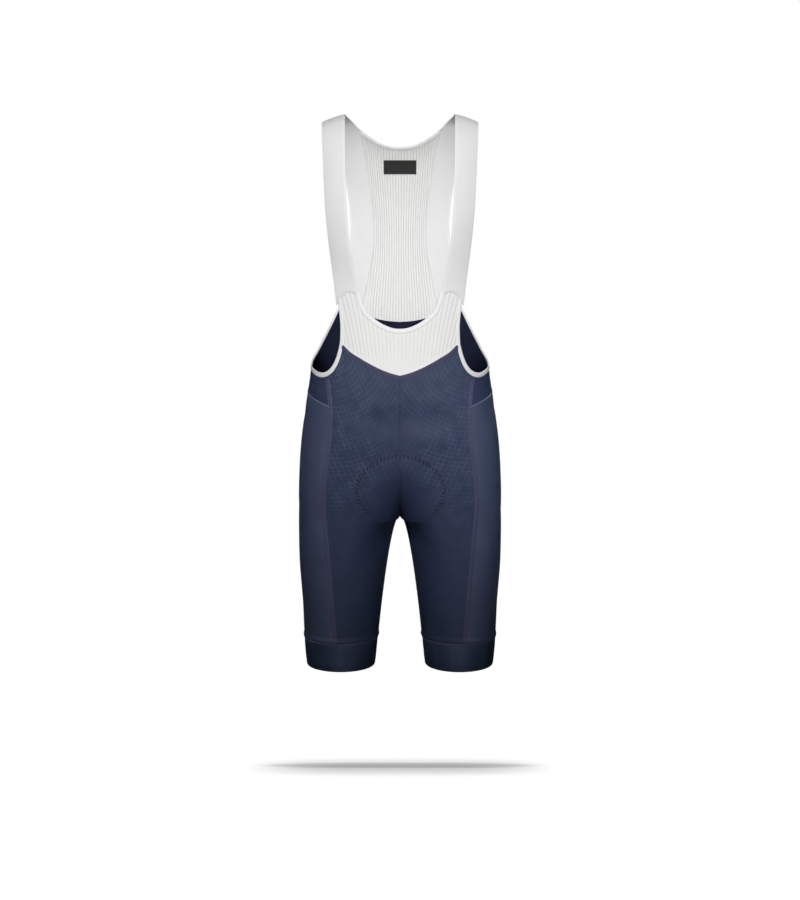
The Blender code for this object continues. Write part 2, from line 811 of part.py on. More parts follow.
def make_bindings():
    left = armhole_binding()
    band("armhole_binding_left", left, WHITE_BINDING)
    right = [[Vector((-p.x, p.y, p.z)) for p in string] for string in left]
    band("armhole_binding_right", right, WHITE_BINDING)
    band("neck_binding", neck_binding(), WHITE_BINDING)
    band("back_neck_binding", nape_binding(), WHITE_BINDING)


# ---------------------------------------------------------------- label

LABEL_ROWS = 4
LABEL_HALF_COLUMNS = 5


def make_label():
    """A plain woven label on the inside of the back mesh."""
    lift = MESH_WALL + LABEL_CLEAR
    top = LABEL_MIDDLE + LABEL_HEIGHT / 2
    rows = []
    for z in spread(top, top - LABEL_HEIGHT, LABEL_ROWS):
        edge_turn, fit = back_mesh_edge(z)
        row = []
        for x in spread(LABEL_WIDTH / 2, 0, LABEL_HALF_COLUMNS):
            turn = turn_at(x, z, 180, 90)
            share = (180 - turn) / (180 - edge_turn)
            row.append(place(turn, z) + fit * share ** 2 - outward(turn, z) * lift)
        rows.append(with_other_half(row))
    cloth_wall(open_sheet("back_label", rows, BLACK), LABEL_WALL)


def main():
    make_legs()
    make_braces()
    make_mesh_panels()
    make_bindings()
    make_label()


for old in list(bpy.data.objects):
    bpy.data.objects.remove(old)
GARMENT = new_collection("cycling_bib_shorts")
main()
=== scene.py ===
"""Cycling bib shorts: the cloth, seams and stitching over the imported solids.

Lengths below are in millimetres, and turns in degrees round the body: turn 0 is the centre front,
90 the wearer's left side and 180 the centre back. Below the crotch, turns 0 and 180 both lie on
the inseam of a leg.
"""
import json
import math
from collections import namedtuple

import bpy
import numpy as np
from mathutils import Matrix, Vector

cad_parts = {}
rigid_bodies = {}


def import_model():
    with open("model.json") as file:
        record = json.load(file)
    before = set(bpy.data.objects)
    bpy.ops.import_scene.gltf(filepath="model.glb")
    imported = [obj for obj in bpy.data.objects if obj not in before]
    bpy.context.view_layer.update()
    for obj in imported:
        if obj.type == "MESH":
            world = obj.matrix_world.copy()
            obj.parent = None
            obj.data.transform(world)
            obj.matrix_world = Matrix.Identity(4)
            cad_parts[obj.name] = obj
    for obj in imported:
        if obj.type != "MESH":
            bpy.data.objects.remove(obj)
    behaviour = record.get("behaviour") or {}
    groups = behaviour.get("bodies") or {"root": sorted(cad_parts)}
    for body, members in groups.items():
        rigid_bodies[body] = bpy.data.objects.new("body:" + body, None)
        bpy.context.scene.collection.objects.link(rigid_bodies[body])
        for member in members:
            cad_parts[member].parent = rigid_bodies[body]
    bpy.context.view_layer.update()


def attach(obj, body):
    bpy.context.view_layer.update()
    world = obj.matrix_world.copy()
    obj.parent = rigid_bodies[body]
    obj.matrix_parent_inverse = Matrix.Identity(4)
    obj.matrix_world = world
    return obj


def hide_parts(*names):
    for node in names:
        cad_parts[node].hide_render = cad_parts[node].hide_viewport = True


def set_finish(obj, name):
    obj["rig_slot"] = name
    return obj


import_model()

MM = 0.001


def table(kind, *rows):
    """Rows with named columns."""
    return tuple(kind(*row) for row in rows)


# ---------------------------------------------------------------- the cut, as in the part's source

BRACE_WIDTH = 39.0
BRACE_CROWN = 1.2
LABEL_WIDTH = 54.5
LABEL_HEIGHT = 22.8
LABEL_MIDDLE = -76.5
CROTCH = -647.0
GRIPPER_TOP = -851.0
HEM = -900.0

# Half width, front, back and squareness of the body. A squareness of 2 is an ellipse.
Section = namedtuple("Section", "height side front back squareness")
FIGURE = table(
    Section,
    (-900, 155.5, -62, 62, 3.0),
    (-852, 159.5, -66, 67, 3.0),
    (-792, 162.0, -72, 77, 3.0),
    (-724, 166.8, -79, 90, 3.0),
    (-656, 167.6, -90, 106, 3.0),
    (-590, 166.8, -105, 122, 2.8),
    (-523, 162.4, -117, 113, 2.45),
    (-456, 152.9, -124, 90, 2.3),
    (-400, 144.6, -126, 75, 2.3),
    (-330, 146.4, -124, 72, 2.3),
    (-260, 155.0, -121, 83, 2.3),
    (-190, 160.0, -119, 95, 2.3),
    (-120, 160.0, -108, 97, 2.3),
    (-60, 150.0, -80, 82, 2.3),
    (0, 135.0, -40, 40, 2.3),
)

# The centre line of the left brace, from the bib over the shoulder to the waist. out_y and out_z
# say how its outer edge lies from its inner one.
BraceStation = namedtuple("BraceStation", "x y z out_y out_z")
BRACE_ROUTE = table(
    BraceStation,
    (81.6, -109.8, -302, 14.0, 0.0),
    (85.4, -107.8, -270, 14.5, 0.0),
    (90.0, -105.6, -240, 18.5, 0.0),
    (94.6, -103.2, -210, 20.0, 0.0),
    (98.0, -99.8, -180, 19.5, 0.0),
    (100.4, -95.2, -150, 18.0, 0.0),
    (102.4, -86.4, -115, 17.0, 0.0),
    (104.0, -73.0, -80, 16.0, -1.0),
    (105.2, -57.0, -48, 13.5, -3.0),
    (106.2, -39.0, -22, 10.0, -6.5),
    (106.8, -20.0, -6, 5.0, -10.5),
    (107.0, 0.0, 0, 0.0, -12.6),
    (103.2, 18.5, -4, -4.5, -13.0),
    (96.4, 34.0, -10, -8.5, -13.5),
    (87.0, 48.0, -20, -11.5, -12.5),
    (80.0, 65.5, -44, -12.0, -9.0),
    (74.0, 80.2, -81, -10.5, -4.0),
    (68.6, 88.3, -114, -9.0, -1.0),
    (64.6, 91.2, -147, -8.0, 0.0),
    (63.2, 89.2, -181, -8.0, 0.0),
    (65.6, 84.2, -214, -8.5, 0.0),
    (70.8, 76.8, -247, -10.0, 0.0),
    (77.0, 68.9, -280, -12.0, 0.0),
    (80.5, 63.8, -300, -13.5, 0.0),
    (82.0, 60.3, -320, -15.0, 0.0),
)

# Seams and edges that run round the body: height at each turn
Seam = namedtuple("Seam", "turn height")
SCOOP_SEAM = table(
    Seam,
    (0, -337.5), (6.4, -336.5), (13.6, -332.5), (21.3, -325.2),
    (27.8, -315.4), (33.0, -302.6), (35.3, -289.5), (36.6, -275.0),
)
BRACE_SEAM = table(
    Seam,
    (33.0, -276.0), (36.6, -275.0), (38.8, -272.4), (42.0, -271.4),
    (45.9, -277.0), (48.1, -283.6), (51.6, -296.0), (54.0, -305.0),
)
VEE_SEAM = table(
    Seam,
    (0, -403.8), (8.9, -399.5), (17.6, -393.4), (26.1, -385.6),
    (34.2, -376.7), (42.1, -366.9), (47.6, -356.0),
)
ARMHOLE_SEAM = table(
    Seam,
    (47.6, -356.0), (49.5, -373.8), (51.4, -386.0), (54.4, -397.7),
    (58.7, -406.2), (63.4, -409.8), (68.1, -409.6), (73.0, -407.4),
    (79.0, -404.2), (90.0, -397.6), (99.9, -388.6), (106.5, -378.2),
    (112.5, -363.6), (117.7, -347.5), (121.9, -332.4), (126.8, -313.5),
    (130.8, -300.8),
)
BACK_SEAM = table(
    Seam,
    (127.4, -293.5), (130.8, -300.8), (138.5, -312.0), (148.0, -321.3),
    (157.0, -327.3), (165.0, -330.6), (180.0, -333.0),
)
YOKE_SEAM = table(
    Seam,
    (50.0, -460.5), (57.7, -455.0), (63.5, -451.0), (69.3, -447.2),
    (79.8, -441.0), (100.0, -434.0), (130.0, -429.0), (180.0, -427.0),
)
NAPE_SEAM = table(
    Seam,
    (126.0, -18.0), (132.0, -23.0), (141.5, -31.5), (154.0, -41.0),
    (167.0, -46.8), (180.0, -48.5),
)

# The side-front seam: distance from the middle plane at each height
Line = namedtuple("Line", "height x")
SIDE_SEAM = table(
    Line,
    (-852, 106.4), (-776, 112.1), (-709, 116.9), (-675, 119.7),
    (-643, 122.2), (-619, 123.4), (-591, 122.8), (-559, 119.6),
    (-527, 114.9), (-495, 111.8), (-453, 111.3), (-414, 115.4),
    (-404.2, 116.8),
)

# The edge of the bib beside the armhole: turn at each height
Edge = namedtuple("Edge", "height turn")
BIB_SIDE = table(
    Edge,
    (-356, 47.6), (-330, 47.3), (-305, 47.7), (-283.6, 48.1),
)

# How the trunk splits into two legs below the crotch, and how the gap between them opens
SPLIT_DEPTH = 100.0
SPLIT_LEAN = 215.0
SPLIT_EDGE = 0.3
EVEN_DEPTH = 130.0
LEG_GAP_SCALE = 1.78
LEG_GAP_POWER = 0.57
SEARCH_STEPS = 30
OUTWARD_STEP = 0.5


def smooth(pairs, where):
    """The values at places on a smooth line through pairs of place and value."""
    places, values = (np.array(column, float) for column in zip(*(pair[:2] for pair in pairs)))
    steps = np.diff(places)
    rises = np.diff(values) / steps
    share = steps[:-1] / (steps[:-1] + steps[1:])
    slopes = np.concatenate((rises[:1], rises[:-1] * (1 - share) + rises[1:] * share, rises[-1:]))
    where = np.asarray(where, float)
    i = np.clip(np.searchsorted(places, where, "right") - 1, 0, len(steps) - 1)
    t = (where - places[i]) / steps[i]
    inside = (
        (1 + 2 * t) * (1 - t) ** 2 * values[i]
        + t * (1 - t) ** 2 * steps[i] * slopes[i]
        + t * t * (3 - 2 * t) * values[i + 1]
        + t * t * (t - 1) * steps[i] * slopes[i + 1]
    )
    before = values[0] + slopes[0] * (where - places[0])
    after = values[-1] + slopes[-1] * (where - places[-1])
    return np.where(t < 0, before, np.where(t > 1, after, inside))


def between(start, end, share):
    return start + (end - start) * share


def ease(low, high, value):
    """0 below low, 1 above high, and a soft step between them."""
    t = np.clip((value - low) / (high - low), 0, 1)
    return t * t * (3 - 2 * t)


SIDE_LINE = [(row.height, row.side) for row in FIGURE]
FRONT_LINE = [(row.height, row.front) for row in FIGURE]
BACK_LINE = [(row.height, row.back) for row in FIGURE]
SQUARENESS_LINE = [(row.height, row.squareness) for row in FIGURE]


def half_place(turn, height):
    """Points on the wearer's left half of the body, for turns of 0 to 180."""
    turn, height = np.broadcast_arrays(np.asarray(turn, float), np.asarray(height, float))
    side = smooth(SIDE_LINE, height)
    front = smooth(FRONT_LINE, height)
    back = smooth(BACK_LINE, height)
    power = smooth(SQUARENESS_LINE, height)
    depth = (back - front) / 2

    angle = np.radians(turn)
    forward, sideways = np.abs(np.cos(angle)) / depth, np.abs(np.sin(angle)) / side
    radius = (forward ** power + sideways ** power) ** (-1 / power)
    matched = np.arccos(np.maximum(1 - 2 * radius * np.abs(np.sin(angle)) / side, -1))
    matched = np.where(turn > 90, 2 * math.pi - matched, matched)
    fall = np.clip((CROTCH - height) / EVEN_DEPTH, 0, 1)
    angle = between(matched, 2 * angle, fall * fall * (3 - 2 * fall))
    reach = (1 - np.cos(angle)) / 2

    lean = SPLIT_LEAN * reach
    rise = np.clip((height - CROTCH + lean) / (SPLIT_DEPTH + lean), 0, 1)
    torso_share = (1 - (1 - rise) ** 2) ** (0.5 + np.minimum(reach / SPLIT_EDGE, 1))
    leg = np.abs(np.sin(angle))
    torso = np.maximum(1 - reach ** power, 0) ** (1 / power)
    bulge = depth * between(leg, torso, torso_share)
    backward = (turn > 90) | (np.sin(angle) < 0)
    gap = LEG_GAP_SCALE * np.maximum(CROTCH - height, 0) ** LEG_GAP_POWER
    x = between(gap, side, reach)
    y = (front + back) / 2 + np.where(backward, bulge, -bulge)
    return np.stack((x, y, height), -1)


def unit(vectors):
    return vectors / np.maximum(np.linalg.norm(vectors, axis=-1, keepdims=True), 1e-9)


def outward(turn, height):
    """The way straight out of the left half of the body."""
    turn, height = np.broadcast_arrays(np.asarray(turn, float), np.asarray(height, float))
    along = half_place(np.minimum(turn + OUTWARD_STEP, 180), height)
    along = along - half_place(np.maximum(turn - OUTWARD_STEP, 0), height)
    up = half_place(turn, height + OUTWARD_STEP) - half_place(turn, height - OUTWARD_STEP)
    return unit(np.cross(along, up))


def run_along(path):
    """The distance along a path from its first point."""
    return np.concatenate(([0], np.cumsum(np.linalg.norm(np.diff(path, axis=0), axis=1))))


def spaced(run, step):
    """Distances about a step apart, over the whole of a run."""
    return np.linspace(0, run[-1], max(int(run[-1] / step), 2) + 1)


def points_at(path, run, at):
    """The points of a path at distances along it."""
    return np.stack([np.interp(at, run, path[:, i]) for i in range(path.shape[1])], axis=1)


def turn_at(x, height, start, end):
    """The turns between start and end where the body is x from its middle plane."""
    x, height = np.broadcast_arrays(np.asarray(x, float), np.asarray(height, float))
    low, high = np.full(x.shape, float(start)), np.full(x.shape, float(end))
    rising = half_place(high, height)[..., 0] > half_place(low, height)[..., 0]
    for _ in range(SEARCH_STEPS):
        middle = (low + high) / 2
        short = (half_place(middle, height)[..., 0] < x) == rising
        low, high = np.where(short, middle, low), np.where(short, high, middle)
    return (low + high) / 2


def side_turn(height):
    """The turn of the side-front seam."""
    level = np.clip(height, SIDE_SEAM[0].height, SIDE_SEAM[-1].height)
    return turn_at(smooth(SIDE_SEAM, level), level, 0, 90)


SIDE_CORNER = float(side_turn(SIDE_SEAM[-1].height))
BACK_CORNER = ARMHOLE_SEAM[-1].turn
NECK_CORNER = SCOOP_SEAM[-1].turn

# ---------------------------------------------------------------- creases and the sewn-in pad

# A soft trough, or a ridge where depth is below 0, from one point to another on one face of the
# cloth. across is measured from the middle plane, and on the sides backwards from below the
# shoulders.
Crease = namedtuple("Crease", "face from_across from_height to_across to_height depth width")
CREASES = table(
    Crease,
    # from the crotch out over the thighs
    ("front", 34, -664, 70, -646, 0.6, 9),
    ("front", -30, -668, -76, -652, 0.5, 8),
    ("front", 40, -704, 66, -716, 0.4, 8),
    ("front", -44, -696, -62, -704, 0.4, 7),
    # over the belly
    ("front", 2, -470, 58, -482, 3.4, 18),
    ("front", -10, -486, -58, -472, 2.2, 17),
    ("front", 30, -518, 96, -494, -1.2, 16),
    ("front", -34, -510, -92, -520, -1.0, 15),
    ("front", 78, -560, 112, -534, 0.7, 9),
    ("front", -82, -552, -112, -530, 0.6, 9),
    # down the thighs and low on the legs
    ("front", 88, -640, 96, -735, -0.8, 13),
    ("front", -90, -648, -92, -748, -0.7, 12),
    ("front", 58, -742, 92, -760, 0.6, 8),
    ("front", -62, -772, -104, -761, 0.6, 9),
    ("front", 60, -812, 88, -822, 0.5, 6),
    ("front", -72, -820, -98, -812, 0.5, 6),
    # across the small of the back
    ("back", -50, -392, 46, -398, 1.5, 8),
    ("back", -72, -414, 10, -420, 1.0, 7),
    ("back", 22, -372, 84, -366, 1.1, 7),
    ("back", -88, -360, -34, -368, 0.8, 6),
    # under the seat
    ("back", 20, -652, 98, -668, 1.7, 9),
    ("back", -18, -655, -102, -664, 1.6, 9),
    ("back", 34, -676, 84, -690, 0.9, 7),
    ("back", -40, -682, -80, -688, 0.8, 6),
    # low on the backs of the legs
    ("back", 62, -800, 116, -806, 1.0, 7),
    ("back", -58, -806, -110, -796, 0.9, 7),
    ("back", 74, -826, 108, -822, 0.6, 5),
    ("back", -70, -780, -104, -774, 0.6, 6),
    # on the sides
    ("left", -30, -462, 28, -476, 0.8, 9),
    ("left", -22, -640, 40, -622, 0.8, 12),
    ("right", -26, -478, 30, -466, 0.8, 9),
    ("right", -18, -628, 44, -640, 0.7, 12),
)
# The axis that each face looks along, with it or against it
FACE_WAYS = {"front": (1, -1), "back": (1, 1), "left": (0, 1), "right": (0, -1)}
# A crease starts and ends softly, at these shares of its line
CREASE_ENDS = (0.12, 0.93)
CREASE_TAPER = 0.8
# The cloth faces a crease's way from the first of these shares, and fully from the second
FACING = (0.05, 0.5)

# The outline of the pad that is sewn inside, on the wearer's left: across and height
PadPoint = namedtuple("PadPoint", "across height")
PAD_FRONT = table(
    PadPoint,
    (0, -532.5), (21.0, -537.0), (39.0, -545.5), (55.0, -557.5),
    (66.0, -573.5), (70.5, -592.0), (66.0, -609.5),
    (55.0, -627.0), (42.0, -641.5), (31.0, -654.0),
)
PAD_BACK = table(
    PadPoint,
    (0, -512.0), (30.0, -514.5), (58.0, -526.0), (77.0, -547.0),
    (85.0, -575.0), (80.0, -603.0), (62.0, -628.0),
    (40.0, -650.0),
)
PAD_STEPS = 160
# The cloth rises over the pad, from just outside its outline to just inside it, with a groove
# along its stitching. Both fade out between the legs, and the stitching does so a little higher.
PAD_RISE = 0.9
PAD_EDGE = (7, -10)
GROOVE_DEPTH = 0.3
GROOVE_WIDTH = 2.0
RISE_FADE = (-668, -640)
STITCHING_FADE = (-662, -640)
# Only cloth between these heights, and nearer to the middle plane than this, is by the pad
PAD_LEVELS = (-680, -480)
PAD_REACH = 120
FAR_OUT = 99.0
# A place counts as outside where less than this share of its distance lies straight across the
# outline
STRAIGHT_SHARE = 0.6
# Below the outline's last point, and this far above it, the pad runs on between the legs
END_REACH = 4

# Above a gripper the cloth rolls over a little: how far, how high up and over what width
ROLL_RISE = 1.5
ROLL_MIDDLE = 3.0
ROLL_WIDTH = 3.5
ROLL_START = -0.5


def to_segment(across, height, start, end):
    """Distances to a straight line, and how far along it, from 0 to 1."""
    line = (end[0] - start[0], end[1] - start[1])
    share = (across - start[0]) * line[0] + (height - start[1]) * line[1]
    share = np.clip(share / (line[0] ** 2 + line[1] ** 2), 0, 1)
    off = np.hypot(across - start[0] - share * line[0], height - start[1] - share * line[1])
    return off, share


def pad_line(points):
    """A fine line through the outline of the pad on one face, with the distance along it."""
    steps = np.arange(len(points), dtype=float)
    fine = np.linspace(0, len(points) - 1, PAD_STEPS)
    across = smooth(list(zip(steps, [p.across for p in points])), fine)
    height = smooth(list(zip(steps, [p.height for p in points])), fine)
    run = np.concatenate(([0], np.cumsum(np.hypot(np.diff(across), np.diff(height)))))
    return across, height, run


PAD_LINES = {"front": pad_line(PAD_FRONT), "back": pad_line(PAD_BACK)}


def pad_field(points):
    """How far each point is outside the pad's outline, and how far round the outline it lies."""
    across, height = np.abs(points[..., 0]), points[..., 2]
    out = np.full(height.shape, FAR_OUT)
    along = np.zeros(height.shape)
    middle = (smooth(FRONT_LINE, height) + smooth(BACK_LINE, height)) / 2
    near = (height > PAD_LEVELS[0]) & (height < PAD_LEVELS[1]) & (across < PAD_REACH)
    for face, (line_x, line_z, run) in PAD_LINES.items():
        here = near & ((points[..., 1] < middle) == (face == "front"))
        if not here.any():
            continue
        x, z = across[here][:, None], height[here][:, None]
        off = np.hypot(x - line_x, z - line_z)
        nearest = off.argmin(1)
        rows = np.arange(len(nearest))
        step = (np.clip(nearest + 1, 0, len(run) - 1), np.clip(nearest - 1, 0, len(run) - 1))
        line = np.stack((line_x[step[0]] - line_x[step[1]], line_z[step[0]] - line_z[step[1]]))
        apart = np.stack((x[:, 0] - line_x[nearest], z[:, 0] - line_z[nearest]))
        length = np.hypot(*line)
        side = (line[0] * apart[1] - line[1] * apart[0]) / length
        slid = (line * apart).sum(0) / length
        far = off[rows, nearest]
        by_end = nearest == len(run) - 1
        inside = by_end & (z[:, 0] <= line_z[-1] + END_REACH)
        slanting = ~by_end & (np.abs(side) < far * STRAIGHT_SHARE)
        out[here] = np.where(inside, -far, np.where(slanting, far, side))
        along[here] = run[nearest] + slid
    return out, along


def stitching_shown(points):
    """Where the stitching of the pad shows."""
    return ease(*STITCHING_FADE, points[..., 2])


def relief(points, normals):
    """How far the cloth stands off the body at each point."""
    rise = np.zeros(points.shape[:-1])
    for crease in CREASES:
        axis, way = FACE_WAYS[crease.face]
        across = points[..., 1 - axis]
        facing = ease(*FACING, normals[..., axis] * way)
        start = (crease.from_across, crease.from_height)
        end = (crease.to_across, crease.to_height)
        off, share = to_segment(across, points[..., 2], start, end)
        taper = np.sin(math.pi * between(*CREASE_ENDS, share)) ** CREASE_TAPER
        rise -= crease.depth * taper * facing * np.exp(-((off / crease.width) ** 2))
    out, _ = pad_field(points)
    fade = ease(*RISE_FADE, points[..., 2])
    rise += PAD_RISE * ease(*PAD_EDGE, out) * fade
    rise -= GROOVE_DEPTH * np.exp(-((out / GROOVE_WIDTH) ** 2)) * fade
    above = points[..., 2] - GRIPPER_TOP
    rise += ROLL_RISE * np.exp(-(((above - ROLL_MIDDLE) / ROLL_WIDTH) ** 2)) * (above > ROLL_START)
    return rise


# ---------------------------------------------------------------- meshes

SHARP_ANGLE = 60
BAND_WALL = 0.5
SLOPE_STEP = 0.4


def grid_normals(points):
    """The way out at each point of a grid whose rows go down and whose columns go round."""
    across = np.gradient(points, axis=1)
    down = np.gradient(points, axis=0)
    return unit(np.cross(across, -down))


def run_across(points):
    """The distance along each row of a grid from its first point."""
    steps = np.linalg.norm(np.diff(points, axis=1), axis=2)
    return np.concatenate((np.zeros((len(points), 1)), np.cumsum(steps, axis=1)), axis=1)


def run_down(points):
    """The distance down each column of a grid from its first point."""
    return run_across(points.transpose(1, 0, 2)).T


def flip(points):
    """The same grid on the wearer's right."""
    return points[:, ::-1] * (-1, 1, 1)


def both_sides(left):
    """A grid on the left half and the same grid on the right one, each with its side's name."""
    return ("left", left), ("right", flip(left))


def joined_at_first(left):
    """The whole of a panel from its left half, whose first column is on the middle plane."""
    return np.concatenate((flip(left)[:, :-1], left), axis=1)


def joined_at_last(left):
    """The whole of a panel from its left half, whose last column is on the middle plane."""
    return np.concatenate((left, flip(left)[:, 1:]), axis=1)


def make_piece(name, mesh, material):
    """A piece of the garment, which hangs from the root body."""
    mesh.shade_smooth()
    mesh.materials.append(material)
    piece = bpy.data.objects.new(name, mesh)
    bpy.context.scene.collection.objects.link(piece)
    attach(piece, "root")
    return piece


def shell(name, outer, inner, maps, material, ring=False, inside=None):
    """A sheet of cloth with an outer and an inner face, closed all round.

    maps holds, for each map that the material reads, a pair of numbers at each point.
    inside is the material of the inner face, where it is another one.
    """
    rows, columns = outer.shape[:2]
    count = rows * columns
    index = np.arange(count).reshape(rows, columns)
    if ring:
        index = np.concatenate((index, index[:, :1]), axis=1)
    corners = (index[:-1, :-1], index[1:, :-1], index[1:, 1:], index[:-1, 1:])
    front = np.stack([corner.ravel() for corner in corners], axis=1)
    faces = [front, front[:, ::-1] + count]
    edges = [index[0], index[-1, ::-1]]
    if not ring:
        edges += [index[::-1, 0], index[:, -1]]
    for edge in edges:
        faces.append(np.stack((edge[1:], edge[1:] + count, edge[:-1] + count, edge[:-1]), 1))
    faces = np.concatenate(faces)
    points = np.concatenate((outer.reshape(-1, 3), inner.reshape(-1, 3))) * MM
    mesh = bpy.data.meshes.new(name)
    mesh.from_pydata(points.tolist(), [], faces.tolist())
    for map_name, pair in maps.items():
        flat = np.stack(pair, -1).reshape(-1, 2)
        layer = mesh.uv_layers.new(name=map_name)
        at = np.concatenate((flat, flat))[faces.ravel()]
        layer.data.foreach_set("uv", at.astype(np.float32).ravel())
    piece = make_piece(name, mesh, material)
    mesh.set_sharp_from_angle(angle=math.radians(SHARP_ANGLE))
    if inside:
        mesh.materials.append(inside)
        slots = np.zeros(len(faces), np.int32)
        slots[len(front):2 * len(front)] = 1
        mesh.polygons.foreach_set("material_index", slots)
    return piece


def settle(points, normals):
    """Points moved out to where the creased cloth lies."""
    return points + normals * relief(points, normals)[..., None]


def strip(name, points, normals, reach, material, lift, crown):
    """A flat band of stitching over a grid of points, whose rows follow it."""
    shares = np.linspace(-1, 1, points.shape[1])
    height = lift + crown * (1 - shares ** 2)
    outer = points + normals * height[:, None]
    run = run_along(points[:, points.shape[1] // 2])
    u = np.broadcast_to(reach, points.shape[:2])
    v = np.broadcast_to(run[:, None], points.shape[:2])
    return shell(name, outer, outer - normals * BAND_WALL, {"weave": (u, v)}, material)


def resampled(path, step):
    """Points evenly spaced along a path, about a step apart."""
    run = run_along(path)
    return points_at(path, run, spaced(run, step))


def even_steps(turns, heights, step):
    """The turns and heights of places a step apart along a line on the left half of the body."""
    run = run_along(half_place(turns, heights))
    at = spaced(run, step)
    return np.interp(at, run, turns), np.interp(at, run, heights)


def route_on_body(turns, heights, step):
    """Points and ways out along a line on the left half of the body."""
    turns, heights = even_steps(turns, heights, step)
    return half_place(turns, heights), outward(turns, heights)


def body_place(turn, height, ring):
    """Points for turns that run on past the ends of the left half.

    On a ring they come to the other side of the same leg, and else to the right half.
    """
    if ring:
        return half_place(np.mod(turn, 180), height)
    over = (turn < 0) | (turn > 180)
    kept = np.where(turn > 180, 360 - turn, np.abs(turn))
    return half_place(kept, height) * np.stack((np.where(over, -1, 1), over * 0 + 1, over * 0 + 1), -1)


def body_slopes(turn, height, ring):
    """How the points move with the turn and with the height."""
    by_turn = body_place(turn + SLOPE_STEP, height, ring)
    by_turn = by_turn - body_place(turn - SLOPE_STEP, height, ring)
    by_height = body_place(turn, height + SLOPE_STEP, ring)
    by_height = by_height - body_place(turn, height - SLOPE_STEP, ring)
    return by_turn / (2 * SLOPE_STEP), by_height / (2 * SLOPE_STEP)


def band_places(turns, heights, reach, ring):
    """A grid of points and ways out: a line on the body widened to each reach beside it."""
    by_turn, by_height = body_slopes(turns, heights, ring)
    out = unit(np.cross(by_turn, by_height))
    along = unit(np.gradient(body_place(turns, heights, ring), axis=0))
    move = np.cross(out, along)[:, None] * reach[None, :, None]
    by_turn, by_height = by_turn[:, None], by_height[:, None]
    # the turn and height whose changes add up to the move
    turn_size, mixed, height_size = (
        (first * second).sum(-1)
        for first, second in ((by_turn, by_turn), (by_turn, by_height), (by_height, by_height))
    )
    turn_move, height_move = (move * by_turn).sum(-1), (move * by_height).sum(-1)
    spread = turn_size * height_size - mixed * mixed
    turn = turns[:, None] + (turn_move * height_size - height_move * mixed) / spread
    height = heights[:, None] + (height_move * turn_size - turn_move * mixed) / spread
    by_turn, by_height = body_slopes(turn, height, ring)
    return body_place(turn, height, ring), unit(np.cross(by_turn, by_height))


# ---------------------------------------------------------------- materials


class Value:
    """A number that changes over a surface. Sums and products of it add Math nodes."""

    def __init__(self, cloth, socket):
        self.cloth = cloth
        self.socket = socket

    def math(self, operation, *others, first=None):
        inputs = [self if first is None else first, *others]
        return self.cloth.node("ShaderNodeMath", {"operation": operation}, inputs)

    def __add__(self, other):
        return self.math("ADD", other)

    __radd__ = __add__

    def __sub__(self, other):
        return self.math("SUBTRACT", other)

    def __rsub__(self, other):
        return self.math("SUBTRACT", self, first=other)

    def __mul__(self, other):
        return self.math("MULTIPLY", other)

    __rmul__ = __mul__

    def __truediv__(self, other):
        return self.math("DIVIDE", other)

    def __pow__(self, other):
        return self.math("POWER", other)

    def __abs__(self):
        return self.math("ABSOLUTE")

    def part(self):
        """What is left over a whole number, from 0 to 1."""
        return self.math("FRACT")

    def whole(self):
        return self.math("FLOOR")

    def most(self, other):
        return self.math("MAXIMUM", other)

    def wave(self, pitch):
        """A wave from 0 to 1 that repeats at a pitch."""
        return (self * (2 * math.pi / pitch)).math("COSINE") * 0.5 + 0.5

    def step(self, low, high):
        """0 below low, 1 above high, and soft between them. low may be the higher one."""
        return self.cloth.node(
            "ShaderNodeMapRange",
            {"interpolation_type": "SMOOTHSTEP"},
            [self, low, high, 0.0, 1.0],
        )

    def line(self, pitch, half_width):
        """Thin lines at a pitch: 1 on a line and 0 between them."""
        return abs((self / pitch).part() - 0.5).step(0.5 - half_width / pitch, 0.5)


